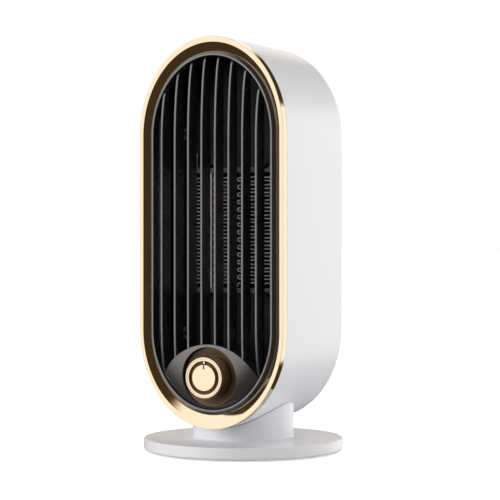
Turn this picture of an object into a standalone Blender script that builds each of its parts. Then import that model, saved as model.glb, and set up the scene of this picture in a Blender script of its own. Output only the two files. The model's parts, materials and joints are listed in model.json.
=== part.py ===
"""A ceramic fan heater: a pill-shaped white housing on a round pedestal, with a gold bezel, a slatted front
grille, a rotary knob, and inside it a PTC heating element, a fan and its motor.

Metres, +Z up. The front faces -Y. The origin is on the floor, under the middle of the pedestal."""

import math

import bmesh
import bpy
from mathutils import Vector

# Clearances.
TOUCH = 0.0003
RUNNING = 0.0005

# Housing outline, seen from the front: straight sides with a half-ellipse at each end.
BODY_WIDTH = 0.0958
BODY_HEIGHT = 0.233
END_RISE = 0.0583
BODY_DEPTH = 0.088
WALL = 0.0022
REAR_ROUND = 0.006
SEAM_CHAMFER = 0.0003

# Pedestal.
FOOT_PROUD = 0.001
BASE_RADIUS = 0.061
BASE_THICKNESS = 0.0075
BODY_GAP = 0.0085
NECK_RADIUS = 0.031
BASE_WALL = 0.0025
BASE_ROUND_TOP = 0.001
BASE_ROUND_BOTTOM = 0.002
NECK_FILLET = 0.0015
COVER_THICKNESS = 0.002
FOOT_RADIUS = 0.006
FOOT_RING = 0.046
FOOT_POCKET = 0.0005

# Bezel ring: insets from the housing outline, and depths behind its front plane.
BEZEL_CHAMFER = 0.0008
BEZEL_LIP = 0.0024
BEZEL_WIDTH = 0.0059
BEZEL_END_RATIO = 1.42
BEZEL_FUNNEL = 0.0024
BEZEL_DEPTH = 0.0054
FLANGE_THICKNESS = 0.002
LEDGE_WIDTH = 0.006
LEDGE_THICKNESS = 0.002

# Grille.
FRAME_BAND = 0.0027
FRAME_SET_BACK = 0.0009
FRAME_EDGE = 0.0009
SLAT_COUNT = 8
SLAT_PITCH = 0.009
SLAT_THICKNESS = 0.0017
DOME_PROUD = 0.0025
DOME_DROP = 0.006
DOME_MARGIN = 0.005
SLAT_BACK_STEP = 0.0004
EMBED = 0.0012
PLATE_PROUD = 0.0004
PLATE_ARC_RADIUS = 0.0351
PLATE_ARC_BELOW_KNOB = 0.0155

# Knob, its dish and its switch, on one axis.
KNOB_HEIGHT = 0.031
KNOB_RADIUS = 0.0123
KNOB_PROUD = 0.008
KNOB_LENGTH = 0.0118
KNOB_DISC = 0.0078
KNOB_GROOVE = 0.002
KNOB_GROOVE_DEPTH = 0.0014
KNOB_CHAMFER = 0.0008
KNOB_WALL = 0.0015
KNOB_HUB = 0.0052
KNOB_FACE = 0.0032
POINTER_WIDTH = 0.0009
POINTER_LENGTH = 0.0027
DISH_RADIUS = 0.0176
DISH_SET_IN = 0.0014
DISH_FUNNEL = 0.0022
DISH_FLOOR = 0.0011
SHAFT_RADIUS = 0.003
SHAFT_FLAT = 0.0007
SHAFT_IN_KNOB = 0.0065
SHAFT_IN_SWITCH = 0.007
SWITCH_WIDTH = 0.026
SWITCH_HEIGHT = 0.022
SWITCH_DEPTH = 0.0105
SWITCH_EAR = 0.0015
SWITCH_EAR_HEIGHT = 0.009
SWITCH_SCREW_SPAN = 0.0415
SWITCH_SCREW_LENGTH = 0.006

# Heating element.
HEATER_WIDTH = 0.065
HEATER_HEIGHT = 0.0695
HEATER_DEPTH = 0.010
HEATER_FRONT = -0.0125
HEATER_RAISE = 0.0017
TUBE_COUNT = 3
TUBE_THICKNESS = 0.0035
TUBE_WALL = 0.0004
TUBE_IN_CAP = 0.0018
STONE_THICKNESS = 0.0016
RAIL_THICKNESS = 0.001
END_CAP_HEIGHT = 0.0032
CAP_PROUD = 0.0006
FIN_PITCH = 0.0046
FIN_THICKNESS = 0.0005
TERMINAL_WIDTH = 0.0048
TERMINAL_THICKNESS = 0.0008
TERMINAL_LENGTH = 0.009
TERMINAL_OUT = 0.030

# Air duct: a plate across the housing with a window for the element, and a tunnel back to the fan.
DUCT_PLATE_FRONT = -0.0060
DUCT_PLATE = 0.002
DUCT_WALL = 0.0016
LINER_GAP = 0.0005
LINER_WALL = 0.0012
HOOK_X = 0.020
HOOK_WIDTH = 0.006
HOOK_THICKNESS = 0.0014
HOOK_LIP = 0.0016
TUNNEL_ROUND_AT = 0.0025
TUNNEL_BACK = 0.0145
DUCT_STEPS = 40

# Fan and motor.
FAN_RADIUS = 0.0375
FAN_TIP_GAP = 0.0016
HUB_RADIUS = 0.0115
HUB_WALL = 0.0015
BLADE_COUNT = 7
BLADE_THICKNESS = 0.0014
BLADE_ANGLE_DEG = 32.0
BLADE_CHORD = 0.016
FAN_FRONT = 0.0035
FAN_DEPTH = 0.009
MOUNT_PLATE = 0.0022
ARM_PLATE = 0.0018
MOUNT_ARM_WIDTH = 0.008
MOUNT_HUB_RADIUS = 0.0165
MOUNT_SCREW_LENGTH = 0.0085
EAR_DEPTH = 0.011
MOTOR_RADIUS = 0.014
MOTOR_LENGTH = 0.0195
MOTOR_WALL = 0.001
MOTOR_SCREW_RING = 0.008
MOTOR_SCREW_LENGTH = 0.0056
MOTOR_SHAFT_RADIUS = 0.001
MOTOR_SHAFT_IN_HUB = 0.007
BUSHING_RADIUS = 0.003
BUSHING_LENGTH = 0.003
ARMATURE_RADIUS = 0.0095
ARMATURE_LENGTH = 0.011
MAGNET_INNER = 0.0105

# Intake slots in the back.
VENT_COUNT = 9
VENT_PITCH = 0.0078
VENT_WIDTH = 0.0040
VENT_FIELD = 0.0375
VENT_BRIDGE = 0.0040

# Screws, by thread radius, with a countersunk or a pan head.
SCREW_RADIUS = 0.0012
HEAD_RADIUS = 0.0024
HEAD_HEIGHT = 0.0014
BOSS_RADIUS = 0.0042
SHOULDER_RADIUS = 0.0055
SMALL_BOSS = 0.0032
HOUSING_SCREW_HEIGHT = 0.062
HOUSING_SCREW_SEAT = 0.003
HOUSING_SCREW_LENGTH = 0.013
PEDESTAL_SCREW_Y = 0.020
PEDESTAL_SCREW_LENGTH = 0.010
PEDESTAL_BOSS_HEIGHT = 0.011

# Cord gland, terminal block, board and safety switches.
GLAND_HEIGHT = 0.018
GLAND_BORE = 0.0035
GLAND_RADIUS = 0.0055
GLAND_FLANGE_RADIUS = 0.0078
GLAND_FLANGE = 0.002
BOARD_SIZE = (0.046, 0.0016, 0.026)
BOARD_Z = 0.076
BOARD_FROM_BACK = 0.0105
BOARD_POST_SPAN = 0.038
TERMINAL_BLOCK_SIZE = (0.030, 0.011, 0.013)
TILT_SWITCH_SIZE = (0.020, 0.013, 0.0085)
CUTOUT_RADIUS = 0.008
CUTOUT_HEIGHT = 0.0055
FUSE_RADIUS = 0.0022
FUSE_LENGTH = 0.014

ROUND_STEPS = 32
DISC_STEPS = 56
SMALL_STEPS = 12
END_STEPS = 16
SHARP_DEG = 32.0
MESH_MERGE = 1e-6
FAR = 0.2

FRONT = -BODY_DEPTH / 2
REAR = BODY_DEPTH / 2
BASE_BOTTOM = FOOT_PROUD
BASE_TOP = BASE_BOTTOM + BASE_THICKNESS
BODY_BOTTOM = BASE_TOP + BODY_GAP
BODY_CENTRE = BODY_BOTTOM + BODY_HEIGHT / 2
STRAIGHT = BODY_HEIGHT / 2 - END_RISE
END_EXTRA = BEZEL_WIDTH * (BEZEL_END_RATIO - 1)
BEZEL_BACK = FRONT + BEZEL_DEPTH
SHELL_FRONT = BEZEL_BACK + TOUCH
FLANGE_FRONT = BEZEL_BACK + TOUCH
FLANGE_BACK = FLANGE_FRONT + FLANGE_THICKNESS
FLANGE_INSET = WALL + TOUCH
LEDGE_FRONT = FLANGE_BACK + TOUCH
LEDGE_BACK = LEDGE_FRONT + LEDGE_THICKNESS
FRAME_OUTER = BEZEL_WIDTH + TOUCH
FRAME_INNER = FRAME_OUTER + FRAME_BAND
FRAME_FRONT = FRONT + FRAME_SET_BACK
GRILLE_FRONT = FRONT - DOME_PROUD
SLAT_BACK = FLANGE_BACK - SLAT_BACK_STEP
PLATE_BACK = FLANGE_BACK - SLAT_BACK_STEP / 2
SEAM_FRONT = -TOUCH / 2
SEAM_REAR = TOUCH / 2
KNOB_Z = BODY_BOTTOM + KNOB_HEIGHT
PLATE_ARC_Z = KNOB_Z - PLATE_ARC_BELOW_KNOB
KNOB_FRONT = FRONT - KNOB_PROUD
KNOB_BACK = KNOB_FRONT + KNOB_LENGTH
DISH_FRONT = FRONT + DISH_SET_IN
DISH_THROAT = KNOB_RADIUS + RUNNING
DISH_FLOOR_FRONT = KNOB_BACK + RUNNING
DISH_BACK = DISH_FLOOR_FRONT + DISH_FLOOR
SWITCH_FRONT = PLATE_BACK + TOUCH
SHAFT_HOLE = SHAFT_RADIUS + RUNNING
SCREW_HOLE = SCREW_RADIUS + TOUCH
HEAD_HOLE = HEAD_RADIUS + TOUCH
HEATER_Z = BODY_CENTRE + HEATER_RAISE
HEATER_BACK = HEATER_FRONT + HEATER_DEPTH
CAP_FRONT = HEATER_FRONT - CAP_PROUD
WINDOW_HALF_X = HEATER_WIDTH / 2 + 2 * TOUCH
WINDOW_HALF_Z = HEATER_HEIGHT / 2 + END_CAP_HEIGHT + 3 * TOUCH
FIN_WIDTH = (HEATER_WIDTH - TUBE_COUNT * TUBE_THICKNESS - 2 * RAIL_THICKNESS) / (TUBE_COUNT + 1)
DUCT_PLATE_BACK = DUCT_PLATE_FRONT + DUCT_PLATE
TUNNEL_RADIUS = FAN_RADIUS + FAN_TIP_GAP
FAN_BACK = FAN_FRONT + FAN_DEPTH
MOUNT_FRONT = TUNNEL_BACK + TOUCH
MOUNT_BACK = MOUNT_FRONT + MOUNT_PLATE
ARM_BACK = MOUNT_BACK - (MOUNT_PLATE - ARM_PLATE) / 2
MOUNT_SCREW_RING = TUNNEL_RADIUS + DUCT_WALL + SMALL_BOSS - TOUCH
MOTOR_FRONT = MOUNT_BACK + TOUCH
MOTOR_BACK = MOTOR_FRONT + MOTOR_LENGTH
INNER_REAR = REAR - WALL
HOUSING_SCREW_X = BODY_WIDTH / 2 - WALL - LINER_GAP - LINER_WALL - TOUCH - SHOULDER_RADIUS
HOUSING_SCREWS = [(sx * HOUSING_SCREW_X, BODY_CENTRE + sz * HOUSING_SCREW_HEIGHT)
                  for sx in (-1, 1) for sz in (-1, 1)]
GLAND_Z = BODY_BOTTOM + GLAND_HEIGHT


# ---------------------------------------------------------------- scene helpers

def clear_scene():
    for obj in list(bpy.data.objects):
        bpy.data.objects.remove(obj, do_unlink=True)


def material(name, colour, roughness, metallic=0.0):
    made = bpy.data.materials.new(name)
    made.use_nodes = True
    shader = made.node_tree.nodes["Principled BSDF"]
    shader.inputs["Base Color"].default_value = (*colour, 1.0)
    shader.inputs["Roughness"].default_value = roughness
    shader.inputs["Metallic"].default_value = metallic
    return made


def add_object(name, bm, finish, parent=None, location=(0, 0, 0)):
    """Turns a bmesh into a named object, its faces pointing out and its round stretches shaded smooth."""
    bmesh.ops.remove_doubles(bm, verts=bm.verts, dist=MESH_MERGE)
    bmesh.ops.recalc_face_normals(bm, faces=bm.faces)
    mesh = bpy.data.meshes.new(name)
    bm.to_mesh(mesh)
    bm.free()
    mesh.shade_smooth()
    mesh.set_sharp_from_angle(angle=math.radians(SHARP_DEG))
    if finish:
        mesh.materials.append(finish)
    obj = bpy.data.objects.new(name, mesh)
    bpy.context.scene.collection.objects.link(obj)
    obj.parent = parent
    obj.location = location
    return obj


def helper(name, bm, parent=None, location=(0, 0, 0)):
    """A cutter or a joining piece, which is not itself a part of the object."""
    obj = add_object(name, bm, None, parent, location)
    obj.hide_render = True
    obj.display_type = "WIRE"
    return obj


def boolean(target, tool, operation):
    modifier = target.modifiers.new(f"{operation.lower()}_{tool.name}", "BOOLEAN")
    modifier.operation = operation
    modifier.object = tool
    modifier.solver = "EXACT"


def cut(target, *tools):
    for tool in tools:
        boolean(target, tool, "DIFFERENCE")


def join(target, *tools):
    for tool in tools:
        boolean(target, tool, "UNION")


def pivot(name, location):
    obj = bpy.data.objects.new(name, None)
    bpy.context.scene.collection.objects.link(obj)
    obj.location = location
    return obj


# ---------------------------------------------------------------- shape helpers

def pill(side_inset=0.0, end_inset=None):
    """The housing outline as (x, z) points, drawn in by side_inset and, at the ends, by end_inset."""
    end_inset = side_inset if end_inset is None else end_inset
    half, rise = BODY_WIDTH / 2 - side_inset, END_RISE - end_inset
    turn = [math.pi * step / END_STEPS for step in range(END_STEPS + 1)]
    return [(end * half * math.cos(a), BODY_CENTRE + end * (STRAIGHT + rise * math.sin(a)))
            for end in (1, -1) for a in turn]


def pill_end(x, side_inset, end_inset):
    """How far past the straight sides the drawn-in outline's end reaches at x."""
    half, rise = BODY_WIDTH / 2 - side_inset, END_RISE - end_inset
    return rise * math.sqrt(max(0.0, 1 - (x / half) ** 2))


def sweep(rings, closed):
    """Joins equal rings of 3-D points in turn, into a closed tube or a capped solid."""
    bm = bmesh.new()
    made = [[bm.verts.new(p) for p in ring] for ring in rings]
    count = len(made[0])
    pairs = list(zip(made, made[1:]))
    if closed:
        pairs.append((made[-1], made[0]))
    for a, b in pairs:
        for i in range(count):
            j = (i + 1) % count
            bm.faces.new((a[i], a[j], b[j], b[i]))
    if not closed:
        bm.faces.new(made[0])
        bm.faces.new(made[-1])
    return bm


def pill_sweep(profile, closed=True):
    """profile holds (side_inset, end_inset, y) for each ring."""
    rings = [[(x, y, z) for x, z in pill(side, end)] for side, end, y in profile]
    return sweep(rings, closed)


def prism(outline, low, high, along="Y"):
    """An outline pushed from low to high: (x, z) points along Y, (y, z) along X, or (x, y) along Z."""
    place = {
        "X": lambda p, at: (at, p[0], p[1]),
        "Y": lambda p, at: (p[0], at, p[1]),
        "Z": lambda p, at: (p[0], p[1], at),
    }[along]
    return sweep([[place(p, low) for p in outline], [place(p, high) for p in outline]], closed=False)


def block(low, high):
    outline = [(low[0], low[1]), (high[0], low[1]), (high[0], high[1]), (low[0], high[1])]
    return prism(outline, low[2], high[2], along="Z")


def centred_block(centre, size):
    low = [c - s / 2 for c, s in zip(centre, size)]
    high = [c + s / 2 for c, s in zip(centre, size)]
    return block(low, high)


def lathe(profile, axis="Z", steps=ROUND_STEPS):
    """Turns a (radius, along) profile about an axis through the origin, into a closed ring or a solid."""
    def ring(radius, along):
        turn = [math.tau * i / steps for i in range(steps)]
        if axis == "Z":
            return [(radius * math.cos(a), radius * math.sin(a), along) for a in turn]
        return [(radius * math.cos(a), along, radius * math.sin(a)) for a in turn]
    solid = [p for p in profile if p[0] > 0]
    return sweep([ring(r, h) for r, h in solid], closed=len(solid) == len(profile))


def cylinder(radius, low, high, axis="Y", steps=SMALL_STEPS):
    return lathe([(0, low), (radius, low), (radius, high), (0, high)], axis, steps)


def tube(outer, inner, low, high, axis="Y", steps=SMALL_STEPS):
    return lathe([(inner, low), (outer, low), (outer, high), (inner, high)], axis, steps)


def merged(pieces):
    """Several separate solids as one bmesh, for a group of cutters; each is (bmesh, offset)."""
    whole = bmesh.new()
    for bm, offset in pieces:
        bmesh.ops.translate(bm, verts=bm.verts, vec=Vector(offset))
        copied = {v: whole.verts.new(v.co) for v in bm.verts}
        for face in bm.faces:
            whole.faces.new([copied[v] for v in face.verts])
        bm.free()
    return whole


def rod_group(name, spots, radius, low, high):
    """Cutters or posts along Y, one at each (x, z) spot."""
    return helper(name, merged([(cylinder(radius, low, high), (x, 0, z)) for x, z in spots]))


def quarter(radius, centre_r, centre_h, start_deg, end_deg, steps=3):
    """An arc of (radius, along) points for a turned profile's rounded edge."""
    turn = [math.radians(start_deg + (end_deg - start_deg) * i / steps) for i in range(steps + 1)]
    return [(centre_r + radius * math.cos(a), centre_h + radius * math.sin(a)) for a in turn]


def screw(name, finish, seat, toward, length):
    """A pan-head screw bearing on the point seat, its shank running on toward "-Y", "+Y" or "+Z"."""
    profile = [(0, -HEAD_HEIGHT), (HEAD_RADIUS, -HEAD_HEIGHT), (HEAD_RADIUS, 0), (SCREW_RADIUS, 0),
               (SCREW_RADIUS, length), (0, length)]
    sign = -1 if toward[0] == "-" else 1
    bm = lathe([(r, sign * h) for r, h in profile], toward[1], SMALL_STEPS)
    return add_object(name, bm, finish, location=seat)


# ---------------------------------------------------------------- housing

def frame_ends(inset):
    """The end inset that goes with a side inset inside the bezel, whose band is wider at the ends."""
    return inset + END_EXTRA


def front_bezel(finish):
    ratio = BEZEL_END_RATIO
    bm = pill_sweep([
        (0, 0, BEZEL_BACK),
        (0, 0, FRONT + BEZEL_CHAMFER),
        (BEZEL_CHAMFER, BEZEL_CHAMFER, FRONT),
        (BEZEL_LIP, BEZEL_LIP * ratio, FRONT),
        (BEZEL_WIDTH, BEZEL_WIDTH * ratio, FRONT + BEZEL_FUNNEL),
        (BEZEL_WIDTH, BEZEL_WIDTH * ratio, BEZEL_BACK),
    ])
    add_object("front_bezel", bm, finish)


def front_shell(finish, neck_holes):
    inner = WALL + LEDGE_WIDTH
    bm = pill_sweep([
        (0, 0, SHELL_FRONT),
        (0, 0, SEAM_FRONT - SEAM_CHAMFER),
        (SEAM_CHAMFER, SEAM_CHAMFER, SEAM_FRONT),
        (WALL, WALL, SEAM_FRONT),
        (WALL, WALL, LEDGE_BACK),
        (inner, inner, LEDGE_BACK),
        (inner, inner, LEDGE_FRONT),
        (WALL, WALL, LEDGE_FRONT),
        (WALL, WALL, SHELL_FRONT),
    ])
    shell = add_object("front_shell", bm, finish)
    join(shell, pedestal_bosses("front_pedestal_bosses", -1))
    cut(shell, neck_holes)
    passage = SHOULDER_RADIUS + TOUCH
    cut(shell, rod_group("boss_passages", HOUSING_SCREWS, passage, FLANGE_BACK, LEDGE_BACK + TOUCH))


def pedestal_spots(side):
    """The (x, y) of the screw from the pedestal into the housing's front (side -1) or rear (side 1)."""
    return [(0, side * PEDESTAL_SCREW_Y)]


def pedestal_bosses(name, side):
    """Bosses over the housing's floor, their feet following its curve halfway through the wall."""
    top = BODY_BOTTOM + PEDESTAL_BOSS_HEIGHT
    posts = [(cylinder(SMALL_BOSS, BASE_TOP, top, "Z"), (x, y, 0)) for x, y in pedestal_spots(side)]
    bosses = helper(name, merged(posts))
    core = pill_sweep([(WALL / 2, WALL / 2, -BODY_DEPTH), (WALL / 2, WALL / 2, BODY_DEPTH)], closed=False)
    boolean(bosses, helper(name + "_core", core), "INTERSECT")
    return bosses


def rear_shell(finish, neck_holes):
    outer_round = quarter(REAR_ROUND, REAR_ROUND, REAR - REAR_ROUND, 180, 90, 4)
    inner_round = quarter(REAR_ROUND - WALL, REAR_ROUND, REAR - REAR_ROUND, 90, 180, 3)
    outer = [(inset, inset, y) for inset, y in outer_round]
    inner = [(inset, inset, y) for inset, y in inner_round]
    seam = [
        (0, 0, SEAM_REAR + SEAM_CHAMFER),
        (SEAM_CHAMFER, SEAM_CHAMFER, SEAM_REAR),
        (WALL, WALL, SEAM_REAR),
    ]
    shell = add_object("rear_shell", pill_sweep(outer[::-1] + seam + inner[::-1], closed=False), finish)
    in_wall = INNER_REAR + WALL / 2
    join(shell, rod_group("rear_bosses", HOUSING_SCREWS, SHOULDER_RADIUS, SEAM_REAR, in_wall))
    join(shell, rod_group("board_posts", board_spots(), SMALL_BOSS, board_back() + TOUCH, in_wall))
    join(shell, rod_group("board_pegs", board_spots(), SCREW_RADIUS, board_back() - BOARD_SIZE[1], in_wall))
    join(shell, pedestal_bosses("rear_pedestal_bosses", 1))
    seat = SEAM_REAR + HOUSING_SCREW_SEAT
    cut(shell, rod_group("housing_screw_holes", HOUSING_SCREWS, SCREW_HOLE, -FAR, FAR))
    cut(shell, rod_group("housing_screw_wells", HOUSING_SCREWS, HEAD_HOLE, seat, FAR))
    cut(shell, helper("intake_slots", merged([(slot, (0, 0, 0)) for slot in intake_slots()])))
    gland_hole = cylinder(GLAND_RADIUS + TOUCH, SEAM_REAR + 2 * WALL, FAR, steps=24)
    cut(shell, helper("gland_hole", gland_hole, location=(0, 0, GLAND_Z)))
    cut(shell, neck_holes)


def intake_slots():
    """Rows of round-ended slots filling a circle in line with the fan, with a bridge down the middle."""
    slots = []
    end = VENT_WIDTH / 2
    for row in range(VENT_COUNT):
        rise = (row - (VENT_COUNT - 1) / 2) * VENT_PITCH
        far = math.sqrt(VENT_FIELD ** 2 - rise ** 2) - end
        near = VENT_BRIDGE / 2 + end
        turn = [math.pi * (i / 3 - 0.5) for i in range(4)]
        for side in (-1, 1):
            outline = [(far + end * math.cos(a), end * math.sin(a)) for a in turn]
            outline += [(near - end * math.cos(a), -end * math.sin(a)) for a in turn]
            placed = [(side * x, HEATER_Z + rise + z) for x, z in outline]
            slots.append(prism(placed, INNER_REAR - WALL, REAR + WALL))
    return slots


# ---------------------------------------------------------------- grille

def dome(x, z):
    """The grille's front surface: flat up the middle, falling back in a quarter-ellipse to each end."""
    away = abs(z - BODY_CENTRE) - (STRAIGHT - DOME_MARGIN)
    reach = DOME_MARGIN + pill_end(x, FRAME_INNER, frame_ends(FRAME_INNER))
    share = min(1.0, max(0.0, away / reach))
    return GRILLE_FRONT + DOME_DROP * (1 - math.sqrt(1 - share ** 2))


def plate_top(x):
    return PLATE_ARC_Z + math.sqrt(max(0.0, PLATE_ARC_RADIUS ** 2 - x ** 2))


def frame_end(x, sign, embed=0.0):
    """The z of the frame's inner edge at x, at the top (sign 1) or bottom (sign -1), embed deeper in it."""
    inset = FRAME_INNER - embed
    return BODY_CENTRE + sign * (STRAIGHT + pill_end(x, inset, frame_ends(inset)))


def slat(x, steps=12):
    low = max(plate_top(x) - EMBED, frame_end(x, -1, EMBED))
    high = frame_end(x, 1, EMBED)
    edge = []
    for i in range(steps + 1):
        z = low + (high - low) * (1 - math.cos(math.pi * i / steps)) / 2
        edge.append((dome(x, z), z))
    outline = edge + [(SLAT_BACK, high), (SLAT_BACK, low)]
    return prism(outline, x - SLAT_THICKNESS / 2, x + SLAT_THICKNESS / 2, along="X")


def plate_half_width():
    """Where the control plate's upper arc runs into the frame."""
    low, high = 0.0, PLATE_ARC_RADIUS
    for _ in range(40):
        middle = (low + high) / 2
        if plate_top(middle) - frame_end(middle, -1, EMBED) > EMBED:
            low = middle
        else:
            high = middle
    return low


def control_plate(columns=21, rows=5):
    """The eye-shaped panel round the knob, its front following the dome and its lower edge in the frame."""
    half = plate_half_width()
    bm = bmesh.new()
    front, back = [], []
    for i in range(columns + 1):
        x = -half * math.cos(math.pi * i / columns)
        low, high = frame_end(x, -1, EMBED), plate_top(x)
        heights = [low + (high - low) * j / rows for j in range(rows + 1)]
        front.append([bm.verts.new((x, dome(x, z) - PLATE_PROUD, z)) for z in heights])
        back.append([bm.verts.new((x, PLATE_BACK, z)) for z in heights])
    for a, b in zip(range(columns), range(1, columns + 1)):
        for j in range(rows):
            bm.faces.new((front[a][j], front[b][j], front[b][j + 1], front[a][j + 1]))
            bm.faces.new((back[a][j], back[a][j + 1], back[b][j + 1], back[b][j]))
        bm.faces.new((front[a][0], back[a][0], back[b][0], front[b][0]))
        bm.faces.new((front[a][rows], front[b][rows], back[b][rows], back[a][rows]))
    for column in (0, columns):
        for j in range(rows):
            bm.faces.new((front[column][j], front[column][j + 1], back[column][j + 1], back[column][j]))
    bmesh.ops.triangulate(bm, faces=bm.faces)
    return bm


def switch_spots():
    return [(side * SWITCH_SCREW_SPAN / 2, KNOB_Z) for side in (-1, 1)]


def front_grille(finish):
    def at(inset, y):
        return (inset, frame_ends(inset), y)
    frame = pill_sweep([
        (FLANGE_INSET, FLANGE_INSET, FLANGE_BACK),
        (FLANGE_INSET, FLANGE_INSET, FLANGE_FRONT),
        at(FRAME_OUTER, FLANGE_FRONT),
        at(FRAME_OUTER, FRAME_FRONT + FRAME_EDGE),
        at(FRAME_OUTER + FRAME_EDGE, FRAME_FRONT),
        at(FRAME_INNER - FRAME_EDGE, FRAME_FRONT),
        at(FRAME_INNER, FRAME_FRONT + FRAME_EDGE),
        at(FRAME_INNER, FLANGE_BACK),
    ])
    grille = add_object("front_grille", frame, finish)
    join(grille, helper("plate_blank", control_plate()))
    places = [(i - (SLAT_COUNT - 1) / 2) * SLAT_PITCH for i in range(SLAT_COUNT)]
    join(grille, helper("slat_blanks", merged([(slat(x), (0, 0, 0)) for x in places])))
    pocket = cylinder(DISH_RADIUS + TOUCH, -FAR, DISH_BACK + TOUCH, steps=ROUND_STEPS)
    cut(grille, helper("dish_pocket", pocket, location=(0, 0, KNOB_Z)))
    through = cylinder(KNOB_RADIUS, -FAR, FAR, steps=24)
    cut(grille, helper("switch_opening", through, location=(0, 0, KNOB_Z)))
    embedded = FLANGE_FRONT + FLANGE_THICKNESS / 2
    shoulder = DUCT_PLATE_FRONT - TOUCH
    join(grille, rod_group("grille_shoulders", HOUSING_SCREWS, SHOULDER_RADIUS, embedded, shoulder))
    join(grille, rod_group("grille_bosses", HOUSING_SCREWS, BOSS_RADIUS, shoulder - EMBED, SEAM_FRONT))
    blind = SEAM_FRONT - HOUSING_SCREW_LENGTH
    cut(grille, rod_group("grille_boss_holes", HOUSING_SCREWS, SCREW_HOLE, blind, FAR))
    blind = SWITCH_FRONT + SWITCH_EAR - SWITCH_SCREW_LENGTH - TOUCH
    cut(grille, rod_group("switch_screw_holes", switch_spots(), SCREW_HOLE, blind, FAR))


# ---------------------------------------------------------------- knob and switch

def knob_dish(finish):
    bm = lathe([
        (SHAFT_HOLE, DISH_BACK),
        (DISH_RADIUS, DISH_BACK),
        (DISH_RADIUS, DISH_FRONT),
        (DISH_RADIUS - DISH_FLOOR / 3, DISH_FRONT),
        (DISH_THROAT, DISH_FRONT + DISH_FUNNEL),
        (DISH_THROAT, DISH_FLOOR_FRONT),
        (SHAFT_HOLE, DISH_FLOOR_FRONT),
    ], "Y")
    return add_object("knob_dish", bm, finish, location=(0, 0, KNOB_Z))


def flatted(radius, flat, low, high):
    """A round bar along Y with a flat along its top."""
    reach = math.acos((radius - flat) / radius)
    start, end = math.pi / 2 + reach, math.pi / 2 + math.tau - reach
    steps = 2 * SMALL_STEPS
    turn = [start + (end - start) * i / steps for i in range(steps + 1)]
    return prism([(radius * math.cos(a), radius * math.sin(a)) for a in turn], low, high)


def control_knob(finish, axis):
    floor = KNOB_FRONT + KNOB_GROOVE_DEPTH
    rim_inner = KNOB_DISC + KNOB_GROOVE
    cavity = KNOB_FRONT + KNOB_FACE
    bm = lathe([
        (0, KNOB_FRONT),
        (KNOB_DISC, KNOB_FRONT),
        (KNOB_DISC, floor),
        (rim_inner, floor),
        (rim_inner, KNOB_FRONT),
        (KNOB_RADIUS - KNOB_CHAMFER, KNOB_FRONT),
        (KNOB_RADIUS, KNOB_FRONT + KNOB_CHAMFER),
        (KNOB_RADIUS, KNOB_BACK),
        (KNOB_RADIUS - KNOB_WALL, KNOB_BACK),
        (KNOB_RADIUS - KNOB_WALL, cavity),
        (KNOB_HUB, cavity),
        (KNOB_HUB, KNOB_BACK),
        (0, KNOB_BACK),
    ], "Y")
    knob = add_object("control_knob", bm, finish, axis)
    pointer = block((-POINTER_WIDTH / 2, -FAR, KNOB_DISC - POINTER_LENGTH),
                    (POINTER_WIDTH / 2, floor, KNOB_DISC + KNOB_GROOVE / 2))
    cut(knob, helper("pointer_cutter", pointer, axis))
    bore = flatted(SHAFT_RADIUS + TOUCH, SHAFT_FLAT, KNOB_BACK - SHAFT_IN_KNOB - TOUCH, FAR)
    cut(knob, helper("knob_bore", bore, axis))
    return knob


def switch_shaft(finish, axis):
    bm = flatted(SHAFT_RADIUS, SHAFT_FLAT, KNOB_BACK - SHAFT_IN_KNOB, SWITCH_FRONT + SHAFT_IN_SWITCH)
    return add_object("switch_shaft", bm, finish, axis)


def rotary_switch(finish):
    back = SWITCH_FRONT + SWITCH_DEPTH
    centre = (0, (SWITCH_FRONT + back) / 2, KNOB_Z)
    body = centred_block(centre, (SWITCH_WIDTH, SWITCH_DEPTH, SWITCH_HEIGHT))
    switch = add_object("rotary_switch", body, finish)
    ear_width = SWITCH_SCREW_SPAN + 2 * HEAD_RADIUS + 2 * TOUCH
    lift = EMBED / 4
    ears = block((-ear_width / 2, SWITCH_FRONT + lift, KNOB_Z - SWITCH_EAR_HEIGHT / 2),
                 (ear_width / 2, SWITCH_FRONT + SWITCH_EAR, KNOB_Z + SWITCH_EAR_HEIGHT / 2))
    join(switch, helper("switch_ears", ears))
    cut(switch, rod_group("switch_ear_holes", switch_spots(), SCREW_HOLE, -FAR, FAR))
    bore = cylinder(SHAFT_HOLE, -FAR, SWITCH_FRONT + SHAFT_IN_SWITCH + RUNNING, steps=24)
    cut(switch, helper("switch_bore", bore, location=(0, 0, KNOB_Z)))


# ---------------------------------------------------------------- heating element

def column_places():
    """The x of each piece across the element, left to right: (kind, middle)."""
    places = [("rail", -HEATER_WIDTH / 2 + RAIL_THICKNESS / 2)]
    x = -HEATER_WIDTH / 2 + RAIL_THICKNESS
    for i in range(TUBE_COUNT + 1):
        places.append(("fin", x + FIN_WIDTH / 2))
        x += FIN_WIDTH
        if i < TUBE_COUNT:
            places.append(("tube", x + TUBE_THICKNESS / 2))
            x += TUBE_THICKNESS
    places.append(("rail", HEATER_WIDTH / 2 - RAIL_THICKNESS / 2))
    return places


def fin_outline(x):
    """A sheet folded back and forth between its neighbours, as a closed (x, z) band of even thickness."""
    half = FIN_WIDTH / 2 - TOUCH
    reach = HEATER_HEIGHT - 2 * TOUCH - FIN_THICKNESS
    folds = round(reach / (FIN_PITCH / 2))
    step = reach / folds
    low = HEATER_Z - reach / 2
    lift = FIN_THICKNESS / 2
    inner_step = lift * 2 * half / step
    edges = {1: [], -1: []}
    for i in range(folds + 1):
        side = 1 if i % 2 else -1
        z = low + i * step
        edges[side] += [(x + side * half, z - lift), (x + side * half, z + lift)]
        edges[-side].append((x + side * (half - inner_step), z))
    return edges[1] + edges[-1][::-1]


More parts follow.
